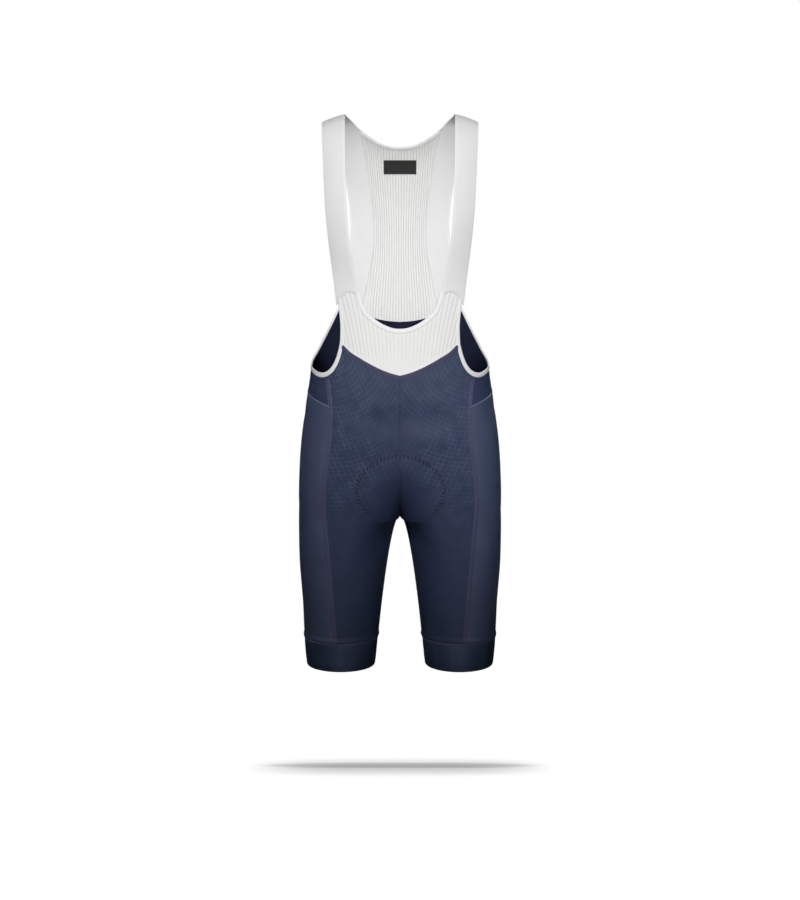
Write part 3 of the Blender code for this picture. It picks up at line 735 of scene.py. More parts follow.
class Cloth:
    """The material of one cloth, thread or band."""

    def __init__(self, name, specular=0.3, sheen=0.0, specular_tint=(1, 1, 1)):
        self.material = bpy.data.materials.new(name)
        self.material.use_nodes = True
        self.tree = self.material.node_tree
        self.shader = self.tree.nodes["Principled BSDF"]
        self.shader.inputs["Specular IOR Level"].default_value = specular
        self.shader.inputs["Sheen Weight"].default_value = sheen
        self.shader.inputs["Specular Tint"].default_value = (*specular_tint, 1)

    def put(self, socket, value):
        if isinstance(value, Value):
            self.tree.links.new(value.socket, socket)
        else:
            socket.default_value = value

    def node(self, kind, settings=None, inputs=(), output=0):
        """Adds a node, with its settings first, and gives one of its outputs."""
        made = self.tree.nodes.new(kind)
        for name, value in (settings or {}).items():
            setattr(made, name, value)
        for key, value in inputs.items() if isinstance(inputs, dict) else enumerate(inputs):
            self.put(made.inputs[key], value)
        return Value(self, made.outputs[output])

    def map(self, name):
        """The two numbers of a map that the mesh carries."""
        place = self.node("ShaderNodeUVMap", {"uv_map": name})
        return [self.node("ShaderNodeSeparateXYZ", None, [place], i) for i in range(2)]

    def noise(self, scale, detail=2.0):
        """Soft blotches, about 1 / scale metres apart."""
        place = self.node("ShaderNodeTexCoord", output=3)
        inputs = {"Vector": place, "Scale": scale, "Detail": detail}
        return self.node("ShaderNodeTexNoise", None, inputs)

    def mix(self, share, first, second):
        """A colour between two, each a triple or the result of another mix."""
        pair = [c if isinstance(c, Value) else (*c, 1) for c in (first, second)]
        return self.node(
            "ShaderNodeMix", {"data_type": "RGBA"}, {0: share, 6: pair[0], 7: pair[1]}, 2
        )

    def finish(self, colour, roughness, height, depth, strength=0.8):
        """Joins colour, roughness and relief. depth is in millimetres."""
        self.put(self.shader.inputs["Base Color"], colour)
        self.put(self.shader.inputs["Roughness"], roughness)
        inputs = {"Height": height, "Distance": depth * MM, "Strength": strength}
        self.put(self.shader.inputs["Normal"], self.node("ShaderNodeBump", None, inputs))
        return self.material


# Colours of the navy cloth
NAVY = (0.0185, 0.0265, 0.0570)
NAVY_PAINTED_SHADE = (0.0030, 0.0050, 0.0140)
NAVY_DEEP = (0.0090, 0.0145, 0.0360)
NAVY_LINE = (0.0560, 0.0720, 0.1130)
NAVY_GLOSS = (0.55, 0.70, 1.0)
SIDE_DEEP = (0.0135, 0.0200, 0.0460)
SIDE_RIB = (0.046, 0.060, 0.108)
GRIPPER_DEEP = (0.004, 0.006, 0.016)
GRIPPER_LIGHT = (0.034, 0.047, 0.086)
# The inner face: the navy painted darker, as the shade inside the shorts
INSIDE_PAINTED_SHADE_DEEP = (0.0050, 0.0066, 0.0170)
INSIDE_PAINTED_SHADE_LIGHT = (0.0082, 0.0100, 0.0240)

# Colours of the white cloth and of the label
WHITE = (0.80, 0.80, 0.79)
WHITE_GROUND = (0.74, 0.74, 0.73)
WHITE_PAINTED_SHADE = (0.46, 0.46, 0.45)
ELASTIC = (0.76, 0.76, 0.76)
ELASTIC_DEEP = (0.70, 0.70, 0.705)
ELASTIC_EDGE = (0.83, 0.83, 0.83)
BINDING = (0.88, 0.88, 0.90)
BINDING_DEEP = (0.73, 0.73, 0.74)
LABEL_BLACK = (0.016, 0.016, 0.015)
LABEL_WEAVE = (0.035, 0.035, 0.033)
LABEL_EDGE = (0.05, 0.05, 0.048)

# Pitches of the knits
FRONT_RIB_PITCH = 6.3
BACK_RIB_PITCH = 5.2
SIDE_RIB_PITCH = 3.9
SLANT_PITCH = 3.4
ELASTIC_PITCH = 1.9
WEAVE_PITCH = 0.9
HOLE_PITCH = 9.0

# The puckers over the stitching of the pad: their pitch, how far from it they end, and how near
# to it they are full
PUCKER_PITCH = 6.4
PUCKER_END = 4.6
PUCKER_FULL = 1.6


def knit_loops(u, v, column, row):
    """The small V of knitted loops in columns and rows."""
    lean = abs((u / column).part() - 0.5) * (row * 1.6)
    return u.wave(column) * 0.55 + (v + lean).wave(row) * 0.45


def pad_puckers(cloth, fade):
    """The small puckers across the stitching of the pad: a mask for their relief and their painted
    shade.
    """
    out, along = cloth.map("pad")
    slant = (along + out * 0.5).wave(PUCKER_PITCH)
    return abs(out).step(PUCKER_END, PUCKER_FULL) * slant ** 2 * fade


def navy_grid_knit():
    """The front of the shorts: a fine knit with a raised tonal grid."""
    cloth = Cloth("navy_grid_knit", specular=0.25)
    u, v = cloth.map("weave")
    p, q = cloth.map("grid")
    shown, fade = cloth.map("tone")
    dimple = pad_puckers(cloth, fade)
    blotch = cloth.noise(55.0, 3.0)
    speckle = cloth.noise(900.0, 1.0)
    every = p.line(1.0, 0.2).most(q.line(1.0, 0.2)) * 0.36
    second = p.line(2.0, 0.22).most(q.line(2.0, 0.22))
    # the lines are broken up finely, and missing in soft patches
    broken = speckle * 0.9 + 0.5
    patchy = blotch.step(0.25, 0.75) * 0.9 + 0.25
    lines = every.most(second) * shown * broken * patchy
    loops = knit_loops(u, v, 1.1, 0.9)
    base = cloth.mix(loops * 0.5 + (blotch - 0.5) * 0.7, NAVY_DEEP, NAVY)
    colour = cloth.mix(lines * 0.62, base, NAVY_LINE)
    # painted shade in the puckers by the pad's stitching
    colour = cloth.mix(dimple, colour, NAVY_PAINTED_SHADE)
    height = lines * 0.8 + loops * 0.3 - dimple * 2.6
    return cloth.finish(colour, 0.62 - lines * 0.08, height, depth=0.35)


def navy_side_knit():
    """The side and back of the shorts: fine upright ribs with a slant between them."""
    cloth = Cloth("navy_side_knit", specular=0.55)
    u, v = cloth.map("weave")
    shown, fade = cloth.map("tone")
    dimple = pad_puckers(cloth, fade)
    blotch = cloth.noise(48.0, 3.0)
    ribs = u.wave(SIDE_RIB_PITCH)
    slant = (u + v * 0.8).wave(SLANT_PITCH) * (u - v * 0.8).wave(SLANT_PITCH)
    texture = ribs * 0.6 + slant * shown * 0.6
    colour = cloth.mix(texture * 0.55 + (blotch - 0.5) * 0.6, SIDE_DEEP, SIDE_RIB)
    # painted shade in the puckers by the pad's stitching
    colour = cloth.mix(dimple, colour, NAVY_PAINTED_SHADE)
    return cloth.finish(colour, 0.50 + blotch * 0.08, texture - dimple * 2.0, depth=0.35)


def navy_plain_knit():
    """The waist: smooth warp knit."""
    cloth = Cloth("navy_plain_knit", specular=0.20)
    u, v = cloth.map("weave")
    blotch = cloth.noise(50.0, 3.0)
    loops = knit_loops(u, v, 1.2, 1.0)
    colour = cloth.mix(loops * 0.5 + (blotch - 0.5) * 0.7, NAVY_DEEP, NAVY)
    return cloth.finish(colour, 0.62, loops, depth=0.2)


def navy_gripper_band():
    """Dense elastic with a light sheen, and soft upright streaks of painted highlight."""
    cloth = Cloth("navy_gripper_band", specular=1.0, specular_tint=NAVY_GLOSS)
    u, v = cloth.map("weave")
    blotch = cloth.noise(38.0, 2.0)
    fine = u.wave(1.5) * 0.6 + v.wave(1.2) * 0.4
    # soft upright streaks of painted highlight, uneven in width
    highlight_streak = u.wave(17.3) * (u + 5.0).wave(29.0)
    share = fine * 0.25 + (blotch - 0.5) * 0.4 + highlight_streak * 0.16 + 0.22
    colour = cloth.mix(share, GRIPPER_DEEP, GRIPPER_LIGHT)
    return cloth.finish(colour, 0.40 + fine * 0.06, fine, depth=0.12)


def navy_inside():
    """The inner face of the navy cloth: plain, matt loops, painted darker as the shade inside the
    shorts.
    """
    cloth = Cloth("navy_inside", specular=0.06)
    u, v = cloth.map("weave")
    loops = knit_loops(u, v, 1.2, 1.0)
    colour = cloth.mix(loops, INSIDE_PAINTED_SHADE_DEEP, INSIDE_PAINTED_SHADE_LIGHT)
    return cloth.finish(colour, 0.8, loops, depth=0.2)


def mesh_knit(name, pitch, depth):
    """Ribbed mesh: columns of small holes between soft ribs, with painted shade in the holes and the
    valleys. depth is from 0 to 1.
    """
    cloth = Cloth(name, specular=0.2, sheen=0.12)
    u, v = cloth.map("weave")
    shown, _ = cloth.map("tone")
    uneven = cloth.noise(160.0, 1.0)
    blotch = cloth.noise(60.0, 2.0)
    column = (u / pitch + 0.5).part()
    # 1 in every second valley, whose holes are moved on by half their pitch
    odd = ((u / pitch + 0.5).whole() * 0.5).part() * 2
    valley = abs(column - 0.5).step(0.345, 0.455)
    dash = ((v + uneven * 7.0) / HOLE_PITCH + odd * 0.5).part()
    hole = abs(dash - 0.5).step(0.42, 0.18) * valley * shown * (uneven + 0.5)
    loops = knit_loops(u, v, 1.3, 1.1)
    ground = cloth.mix(loops * 0.5 + blotch * 0.5, WHITE_GROUND, WHITE)
    # painted shade in the holes and, more faintly, in the valleys between the ribs
    colour = cloth.mix(hole * depth + valley * shown * (depth * 0.15), ground, WHITE_PAINTED_SHADE)
    height = loops * 0.3 - valley * shown * (0.4 * depth) - hole * depth
    return cloth.finish(colour, 0.75, height, depth=0.5)


def elastic_band():
    """The braces: smooth elastic with fine upright lines."""
    cloth = Cloth("white_elastic", specular=0.25, sheen=0.1)
    u, v = cloth.map("weave")
    edge, _ = cloth.map("tone")
    blotch = cloth.noise(45.0, 2.0)
    lean = abs((u / ELASTIC_PITCH).part() - 0.5)
    fine = u.wave(ELASTIC_PITCH) * 0.6 + (v + lean).wave(1.1) * 0.4
    colour = cloth.mix(fine * 0.4 + blotch * 0.5, ELASTIC_DEEP, ELASTIC)
    colour = cloth.mix(edge * 0.6, colour, ELASTIC_EDGE)
    return cloth.finish(colour, 0.7, fine, depth=0.16)


def binding_cloth():
    """Folded binding with a fine knit."""
    cloth = Cloth("white_binding", specular=0.25, sheen=0.1)
    u, v = cloth.map("weave")
    fine = knit_loops(u, v, 1.1, 1.0)
    blotch = cloth.noise(70.0, 2.0)
    colour = cloth.mix(fine * 0.5 + blotch * 0.4, BINDING_DEEP, BINDING)
    return cloth.finish(colour, 0.72, fine, depth=0.2)


def flat_seam(name, light, deep, pitch):
    """A flat seam: needle lines with a cover thread that crosses between them at a pitch."""
    cloth = Cloth(name, specular=0.3, sheen=0.08)
    u, v = cloth.map("weave")
    zigzag = (v + abs((u / 2.8).part() - 0.5) * 2.2).wave(pitch)
    needles = u.wave(2.4) * 0.5
    blotch = cloth.noise(120.0, 2.0)
    threads = zigzag * 0.65 + needles * 0.5
    colour = cloth.mix(threads * 0.9 + (blotch - 0.5) * 0.6, deep, light)
    return cloth.finish(colour, 0.6, threads, depth=0.4, strength=1.0)


def thread(name, colour, deep):
    """Twisted sewing thread."""
    cloth = Cloth(name, specular=0.35, sheen=0.05)
    twist = cloth.noise(1500.0, 1.0)
    return cloth.finish(cloth.mix(twist, deep, colour), 0.55, twist, depth=0.15)


def label_cloth():
    """A plain woven label."""
    cloth = Cloth("black_label_weave", specular=0.3, sheen=0.05)
    u, v = cloth.map("weave")
    half = WEAVE_PITCH / 2
    over = u.wave(WEAVE_PITCH) * v.wave(WEAVE_PITCH)
    weave = over + (u + half).wave(WEAVE_PITCH) * (v + half).wave(WEAVE_PITCH)
    edge = (abs(v) - LABEL_HEIGHT / 2).step(-1.9, -1.2)
    colour = cloth.mix(weave * 0.5, LABEL_BLACK, LABEL_WEAVE)
    colour = cloth.mix(edge * 0.4, colour, LABEL_EDGE)
    return cloth.finish(colour, 0.6, weave, depth=0.12)


GRID_KNIT = navy_grid_knit()
SIDE_KNIT = navy_side_knit()
PLAIN_KNIT = navy_plain_knit()
GRIPPER_BAND = navy_gripper_band()
NAVY_INSIDE_PAINTED_SHADE = navy_inside()
FRONT_MESH = mesh_knit("white_mesh_front", FRONT_RIB_PITCH, depth=0.35)
BACK_MESH = mesh_knit("white_mesh_back", BACK_RIB_PITCH, depth=0.62)
ELASTIC_BAND = elastic_band()
BINDING_CLOTH = binding_cloth()
NAVY_SEAM = flat_seam("flat_seam_violet", (0.026, 0.024, 0.060), (0.013, 0.013, 0.036), 2.1)
LEG_SEAM = flat_seam("flat_seam_leg", (0.034, 0.034, 0.078), (0.018, 0.019, 0.045), 2.1)
DARK_SEAM = flat_seam("flat_seam_navy", (0.0040, 0.0055, 0.0140), (0.0015, 0.0025, 0.0070), 1.6)
WAIST_SEAM = flat_seam("flat_seam_light", (0.060, 0.062, 0.130), (0.028, 0.030, 0.066), 1.6)
WHITE_SEAM = flat_seam("flat_seam_white", (0.80, 0.80, 0.80), (0.64, 0.64, 0.64), 2.1)
WHITE_THREAD = thread("white_thread", (0.82, 0.82, 0.82), (0.68, 0.68, 0.68))
NAVY_THREAD = thread("navy_thread", (0.030, 0.040, 0.070), (0.012, 0.017, 0.032))
LABEL_CLOTH = label_cloth()


# ---------------------------------------------------------------- the navy legs and waist

KNIT_WALL = 1.0
# The rows of a leg panel are level from here down, and closest together by the crotch
LEVEL_TOP = -480.0
LEG_FINE_STEP = 0.5
LEG_COARSE_STEP = 2.5
STEP_GROWTH = 1.15
# How much closer together the columns are towards the middle plane
CROWDING = 1.35
FRONT_COLUMNS = 84
FRONT_SIDE_COLUMNS = 20
FRONT_TOP_ROWS = 46
SIDE_BACK_COLUMNS = 128
SIDE_BACK_TOP_ROWS = 18
WAIST_SIDE_COLUMNS = 90
WAIST_BACK_COLUMNS = 44
WAIST_ROWS = 44
BRACES = ("strap_left", "strap_right")
# The name, flat size and area of each sheet
SHEETS = []


def graded(start, end, middle, fine, coarse):
    """Heights from start down to end, closest together at middle."""
    made = []
    for target in (start, end):
        steps = [0.0]
        step = fine
        while steps[-1] < abs(target - middle):
            steps.append(steps[-1] + step)
            step = min(step * STEP_GROWTH, coarse)
        # there are no steps towards an end that is the middle itself
        reach = np.array(steps) * abs(target - middle) / max(steps[-1], fine)
        made.append(middle + math.copysign(1, target - middle) * reach)
    return np.concatenate((made[0][::-1], made[1][1:]))


def leg_grid(shares, tops, top_rows, first_turn, last_turn):
    """A grid over a leg panel, from a top edge down to the gripper."""
    levels = graded(LEVEL_TOP, GRIPPER_TOP, CROTCH, LEG_FINE_STEP, LEG_COARSE_STEP)
    upper = np.linspace(0, 1, top_rows)[:-1, None]
    upper = between(tops[None, :], LEVEL_TOP, upper)
    heights = np.concatenate((upper, np.repeat(levels[:, None], len(shares), 1)))
    turns = between(first_turn(heights), last_turn(heights), shares)
    return half_place(turns, heights)


def at_front(heights):
    """Turn 0 at each height."""
    return np.zeros_like(heights)


def at_back(heights):
    """Turn 180 at each height."""
    return np.full_like(heights, 180.0)


def front_grid():
    """The front panel of the left leg, with its columns closer together towards the middle."""
    corner = VEE_SEAM[-1].turn / SIDE_CORNER
    shares = corner * np.linspace(0, 1, FRONT_COLUMNS) ** CROWDING
    shares = np.concatenate((shares, np.linspace(corner, 1, FRONT_SIDE_COLUMNS)[1:]))
    turns = shares * SIDE_CORNER
    tops = np.where(shares <= corner, smooth(VEE_SEAM, turns), smooth(ARMHOLE_SEAM, turns))
    return leg_grid(shares, tops, FRONT_TOP_ROWS, at_front, side_turn)


def side_back_grid():
    """The side and back panel of the left leg, closer together towards the centre back."""
    shares = 1 - (1 - np.linspace(0, 1, SIDE_BACK_COLUMNS)) ** CROWDING
    seam_start = float(side_turn(YOKE_SEAM[1].height))
    tops = smooth(YOKE_SEAM, between(seam_start, 180, shares))
    return leg_grid(shares, tops, SIDE_BACK_TOP_ROWS, side_turn, at_back)


def waist_grid():
    """The left half of the high waist, from the side-front seam to the centre back."""
    turns = np.concatenate((
        np.linspace(SIDE_CORNER, BACK_CORNER, WAIST_SIDE_COLUMNS),
        np.linspace(BACK_CORNER, 180, WAIST_BACK_COLUMNS)[1:],
    ))
    tops = np.where(
        turns <= BACK_CORNER, smooth(ARMHOLE_SEAM, turns), smooth(BACK_SEAM, turns)
    )
    lean = float(side_turn(YOKE_SEAM[1].height)) - SIDE_CORNER
    nearness = ((180 - turns) / (180 - SIDE_CORNER)) ** 3
    lows = smooth(YOKE_SEAM, turns + lean * nearness)
    heights = between(tops[None], lows[None], np.linspace(0, 1, WAIST_ROWS)[:, None])
    moved = turns + (side_turn(heights) - SIDE_CORNER) * nearness
    return half_place(moved, heights)


def cut_of(points, ring=False):
    """The flat width and length of a piece of cloth, and its area, in metres."""
    if ring:
        points = np.concatenate((points, points[:, :1]), axis=1)
    left, top = points[1:, :-1] - points[:-1, :-1], points[:-1, 1:] - points[:-1, :-1]
    low, right = points[1:, :-1] - points[1:, 1:], points[:-1, 1:] - points[1:, 1:]
    area = np.linalg.norm(np.cross(left, top), axis=2) + np.linalg.norm(np.cross(low, right), axis=2)
    width = run_across(points)[:, -1].max() * MM
    length = run_down(points)[-1].max() * MM
    return (round(float(width), 3), round(float(length), 3)), float(area.sum() / 2) * MM ** 2


def dress(piece, points, node, slot, rests_on, ring=False):
    """Hides the solid that a stretched piece of cloth stands for, gives the piece its slot, and notes
    the size it is cut to.
    """
    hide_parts(node)
    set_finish(piece, slot)
    flat, area = cut_of(points, ring)
    area = min(area, flat[0] * flat[1])
    SHEETS.append((piece.name, flat, area))


# Low on the belly, under its fold, less of the grid shows in colour and relief, which paints the
# shade there: its half width, its middle height, its half height and how much is lost
BELLY_SHADE_SIDE = 55
BELLY_SHADE_MIDDLE = -492
BELLY_SHADE_HEIGHT = 32
BELLY_SHADE_SHARE = 0.7


def grid_shown(points):
    """Where the tonal grid shows: faded over the pad, thighs and inner legs, and as painted shade low
    on the belly.
    """
    across, height = np.abs(points[..., 0]), points[..., 2]
    out, _ = pad_field(points)
    shown = ease(-44, -16, out) * 0.9 + 0.1
    shown = shown * between(0.28, 1, ease(-690, -540, height))
    # painted shade under the belly's fold: the grid fades there
    belly_shade = ((across / BELLY_SHADE_SIDE) ** 2) + ((height - BELLY_SHADE_MIDDLE) / BELLY_SHADE_HEIGHT) ** 2
    shown = shown * (1 - BELLY_SHADE_SHARE * np.exp(-belly_shade))
    return shown * between(0.55, 1, ease(40, 100, across + (height + 640) * 0.5))


# One family of grid lines is arcs round this place by the armhole; the other leans outwards
ARC_MIDDLE = (118.0, -360.0)
ARC_PITCHES = ((80, 4.1), (130, 3.8), (170, 3.5), (260, 3.6))
LEAN = math.radians(25)
LEAN_PITCHES = ((-600, 4.4), (-531, 4.1), (-491, 3.5), (-443, 3.05), (-400, 3.0))
LEAN_MIDDLE = 60.0


def counted(pitches, where):
    """How many lines lie between 0 and a place, for a pitch that changes on the way."""
    fine = np.linspace(pitches[0][0] - 400, pitches[-1][0] + 400, 1600)
    pitch = np.interp(fine, *zip(*pitches))
    count = np.concatenate(([0], np.cumsum(np.diff(fine) / pitch[1:])))
    return np.interp(where, fine, count)


def grid_lines(points):
    """Two running numbers whose whole steps are the lines of the grid."""
    across, height = np.abs(points[..., 0]), points[..., 2]
    near = 1 / np.interp(height, *zip(*LEAN_PITCHES))
    leaning = (across - LEAN_MIDDLE) * math.cos(LEAN) * near
    leaning = leaning - math.sin(LEAN) * counted(LEAN_PITCHES, height)
    arcs = np.hypot(across - ARC_MIDDLE[0], height - ARC_MIDDLE[1])
    return leaning, counted(ARC_PITCHES, arcs)


def make_panel(name, base, maps, material, node, slot):
    """A navy panel: a grid of places on the body, creased, with plain loops inside, painted darker as
    shade.
    """
    normals = grid_normals(base)
    outer = settle(base, normals)
    inner = outer - normals * KNIT_WALL
    piece = shell(name, outer, inner, maps, material, inside=NAVY_INSIDE_PAINTED_SHADE)
    dress(piece, outer, node, slot, BRACES)


def make_front_panels():
    for side, base in both_sides(front_grid()):
        run = run_across(base)
        from_side = run[:, -1:] - run if side == "left" else run
        maps = {
            "weave": (from_side, base[..., 2]),
            "grid": grid_lines(base),
            "tone": (grid_shown(base), stitching_shown(base)),
            "pad": pad_field(base),
        }
        make_panel("front_cloth_" + side, base, maps, GRID_KNIT, "front_panel_" + side, "navy_knit")


def make_side_back_panels():
    for side, base in both_sides(side_back_grid()):
        run = run_across(base)
        from_side = run if side == "left" else run[:, -1:] - run
        # the slanting texture is strongest below the hips
        shown = ease(-455, -500, base[..., 2]) * 0.8 + 0.2
        maps = {
            "weave": (from_side, base[..., 2]),
            "tone": (shown, stitching_shown(base)),
            "pad": pad_field(base),
        }
        make_panel("side_back_cloth_" + side, base, maps, SIDE_KNIT, "side_back_panel_" + side,
                   "navy_side_knit")


def make_waist():
    base = joined_at_last(waist_grid())
    maps = {"weave": (run_across(base), base[..., 2])}
    make_panel("waist_cloth", base, maps, PLAIN_KNIT, "back_yoke", "navy_knit")


GRIPPER_COLUMNS = 220
GRIPPER_WALL = 1.5
GRIPPER_RADIUS = 62
LEG_MIDDLE = 97
# The band is turned under at the hem: from which share of its depth, and how far in
HEM_TURN = 0.96
HEM_TUCK = 1.1
# The band is a little uneven round the leg: how far, and where its waves start on each leg
WOBBLE = 0.25
WOBBLE_STARTS = {"left": 0.7, "right": 2.1}
# How far the band stands off the leg at each share of the way down it
GRIPPER_PROFILE = ((0, -0.5), (0.04, -0.1), (0.15, 0.25), (0.5, 0.4), (0.85, 0.3), (0.96, 0.0))
GRIPPER_SHARES = np.concatenate((
    np.linspace(0, 0.08, 5), np.linspace(0.1, 0.9, 18), np.linspace(0.92, 1, 6),
))


def make_grippers():
    turns = np.linspace(0, 180, GRIPPER_COLUMNS, endpoint=False)
    shares = GRIPPER_SHARES
    heights = between(GRIPPER_TOP, HEM, shares)
    base = half_place(turns[None], heights[:, None])
    rise = smooth(GRIPPER_PROFILE, np.minimum(shares, HEM_TURN))
    rise -= HEM_TUCK * np.clip((shares - HEM_TURN) / 0.04, 0, 1) ** 2
    for side, points in both_sides(base):
        wrapped = np.concatenate((points[:, -1:], points, points[:, :1]), axis=1)
        normals = grid_normals(wrapped)[:, 1:-1]
        x, y = points[..., 0], points[..., 1]
        wobble = WOBBLE * np.sin(3 * np.arctan2(y, np.abs(x) - LEG_MIDDLE) + WOBBLE_STARTS[side])
        stand = rise[:, None] + wobble * ease(0, 0.5, shares)[:, None]
        outer = points + normals * stand[..., None]
        run = run_across(outer)
        scale = 2 * math.pi * GRIPPER_RADIUS / run[:, -1:]
        maps = {"weave": (run * scale, points[..., 2])}
        piece = shell("gripper_band_" + side, outer, outer - normals * GRIPPER_WALL, maps,
                      GRIPPER_BAND, ring=True)
        dress(piece, outer, "gripper_" + side, "navy_gripper", ["front_panel_" + side], ring=True)


# ---------------------------------------------------------------- braces

END_SEARCH_STEPS = 24
BraceLines = namedtuple("BraceLines", "run middle out")


def brace_lines():
    """The brace's middle line and the way across it, with the distance along it."""
    middle = np.array([[row.x, row.y, row.z] for row in BRACE_ROUTE], float)
    out_y = np.array([row.out_y for row in BRACE_ROUTE])
    out_z = np.array([row.out_z for row in BRACE_ROUTE])
    out_x = np.sqrt(BRACE_WIDTH ** 2 - out_y ** 2 - out_z ** 2)
    return BraceLines(run_along(middle), middle, np.stack((out_x, out_y, out_z), 1))


BRACE = brace_lines()


def along_brace(lines, distance):
    """What the rows of lines come to at distances along the brace."""
    pairs = [list(zip(BRACE.run, lines[:, axis])) for axis in range(3)]
    return np.stack([smooth(pair, distance) for pair in pairs], -1)


def brace_place(distance, share):
    """Points of the left brace: share 0 is its inner edge and 1 its outer one."""
    distance, share = np.broadcast_arrays(np.asarray(distance, float), np.asarray(share, float))
    across = along_brace(BRACE.out, distance)
    middle = along_brace(BRACE.middle, distance)
    ahead = along_brace(BRACE.middle, distance + 1) - middle
    crown = BRACE_CROWN * 4 * share * (1 - share)
    return (
        middle + across * (share - 0.5)[..., None]
        + unit(np.cross(across, ahead)) * crown[..., None]
    )


def brace_end(shares, seam, side, start, end):
    """How far along the brace it meets a seam, on the side of the body with turn 0 or 180."""
    low, high = np.full(len(shares), float(start)), np.full(len(shares), float(end))
    for _ in range(END_SEARCH_STEPS):
        middle = (low + high) / 2
        points = brace_place(middle, shares)
        turns = turn_at(points[:, 0], points[:, 2], side, 90)
        above = points[:, 2] > smooth(seam, turns)
        shorter = above == (side == 0)
        high, low = np.where(shorter, middle, high), np.where(shorter, low, middle)
    return (low + high) / 2


BRACE_WALL = 1.2
BRACE_ROWS = 330
BRACE_END_REACH = 90.0
# The edge of a brace is thinner than its middle: how much, on each face
EDGE_THINNING = 0.25
# A brace ripples a little along its length: how far, and where along it on each side
RIPPLE = 0.35
RIPPLE_SHIFTS = {"left": 0.0, "right": 37.0}
BRACE_SHARES = np.concatenate((
    np.linspace(1, 0.93, 4), np.linspace(0.9, 0.1, 18), np.linspace(0.07, 0, 4),
))


def make_braces():
    """Both braces, each cut off along its seam with the bib and the one with the waist."""
    near_end = BRACE.run[-1] - BRACE_END_REACH
    fronts = brace_end(BRACE_SHARES, BRACE_SEAM, 0, 0, BRACE_END_REACH)
    backs = brace_end(BRACE_SHARES, BACK_SEAM, 180, near_end, BRACE.run[-1])
    distance = between(fronts[None], backs[None], np.linspace(0, 1, BRACE_ROWS)[:, None])
    left = brace_place(distance, BRACE_SHARES[None])
    edge = np.broadcast_to(ease(0.42, 0.49, np.abs(BRACE_SHARES - 0.5))[None], distance.shape)
    for side, base in both_sides(left):
        normals = grid_normals(base)
        moved = distance + RIPPLE_SHIFTS[side]
        ripple = RIPPLE * np.sin(moved / 23) * np.sin(moved / 61 + 1)
        shares = BRACE_SHARES[None] if side == "left" else BRACE_SHARES[None, ::-1]
        ripple = ripple * np.sin(math.pi * shares)
        outer = base + normals * (ripple - EDGE_THINNING * edge)[..., None]
        inner = base + normals * (ripple - BRACE_WALL + EDGE_THINNING * edge)[..., None]
        u = np.broadcast_to(shares * BRACE_WIDTH, distance.shape)
        maps = {"weave": (u, distance), "tone": (edge, edge)}
        piece = shell("brace_elastic_" + side, outer, inner, maps, ELASTIC_BAND)
        dress(piece, outer, "strap_" + side, "white_elastic", ["shoulders"])


# ---------------------------------------------------------------- white mesh

MESH_WALL = 0.9
FRONT_RIB_RELIEF = 0.12
BACK_RIB_RELIEF = 0.30
# The front ribs close in towards the middle on the way down, and have their pitch at this level
RIB_LEAN = 0.0027
RIB_LEVEL = -345.0
# How much of the back mesh's change of width its ribs follow
RIB_SPREAD = 0.55
BIB_COLUMNS = 84
BIB_SIDE_COLUMNS = 30
BIB_ROWS = 60
BACK_MESH_COLUMNS = 96
BACK_MESH_ROWS = 120
# The back mesh ends this far from the brace
BRACE_GAP = 0.25


def bib_grid():
    """The left half of the bib, from the middle to the armhole."""
    top = BIB_SIDE[-1]
    low = BIB_SIDE[0]
    turns = np.concatenate((
        np.linspace(0, NECK_CORNER, BIB_COLUMNS),
        np.linspace(NECK_CORNER, top.turn, BIB_SIDE_COLUMNS)[1:],
    ))
    tops = np.where(turns < NECK_CORNER, smooth(SCOOP_SEAM, turns), smooth(BRACE_SEAM, turns))
    nearness = (turns / top.turn) ** 4
    lows = smooth(VEE_SEAM, turns + (low.turn - top.turn) * nearness)
    heights = between(tops[None], lows[None], np.linspace(0, 1, BIB_ROWS)[:, None])
    edge_turns = smooth(BIB_SIDE, np.maximum(heights, low.height))
    return half_place(turns + (edge_turns - top.turn) * nearness, heights)


def brace_inner_edge(heights):
    """Points on the back run of the left brace's inner edge at heights."""
    low = np.full(len(heights), BRACE.run[-1] / 2)
    high = np.full(len(heights), float(BRACE.run[-1]))
    for _ in range(SEARCH_STEPS):
        middle = (low + high) / 2
        above = brace_place(middle, 0)[:, 2] > heights
        low, high = np.where(above, middle, low), np.where(above, high, middle)
    return brace_place(low, 0)


def back_mesh_edge(heights):
    """The turns of the back mesh's edge, and how far a brace's inner edge is off the body."""
    edge = brace_inner_edge(heights) - (BRACE_GAP, 0, 0)
    turns = turn_at(edge[:, 0], edge[:, 2], 180, 90)
    return turns, edge - half_place(turns, edge[:, 2])


NAPE_CORNER = 131.5
BACK_MESH_CORNER = 147.0


def back_mesh_grid():
    """The left half of the back mesh, from the brace to the middle."""
    shares = np.linspace(1, 0, BACK_MESH_COLUMNS)
    tops = smooth(NAPE_SEAM, between(180, NAPE_CORNER, shares))
    steps = np.linspace(0, 1, BACK_MESH_ROWS)
    turns, fit = back_mesh_edge(between(tops[0], float(smooth(BACK_SEAM, BACK_MESH_CORNER)), steps))
    turn = between(180, turns[:, None], shares[None])
    height = between(tops[None], smooth(BACK_SEAM, turn), steps[:, None])
    return half_place(turn, height) + fit[:, None] * (shares ** 2)[None, :, None]


def front_rib_places(base):
    """How far round from the middle each point of the bib lies, as its ribs run."""
    turns = np.linspace(0, 60, 240)
    level = half_place(turns, np.full_like(turns, RIB_LEVEL))
    round_it = np.interp(np.abs(base[..., 0]), level[:, 0], run_along(level))
    return np.sign(base[..., 0]) * round_it * (1 + RIB_LEAN * (RIB_LEVEL - base[..., 2]))


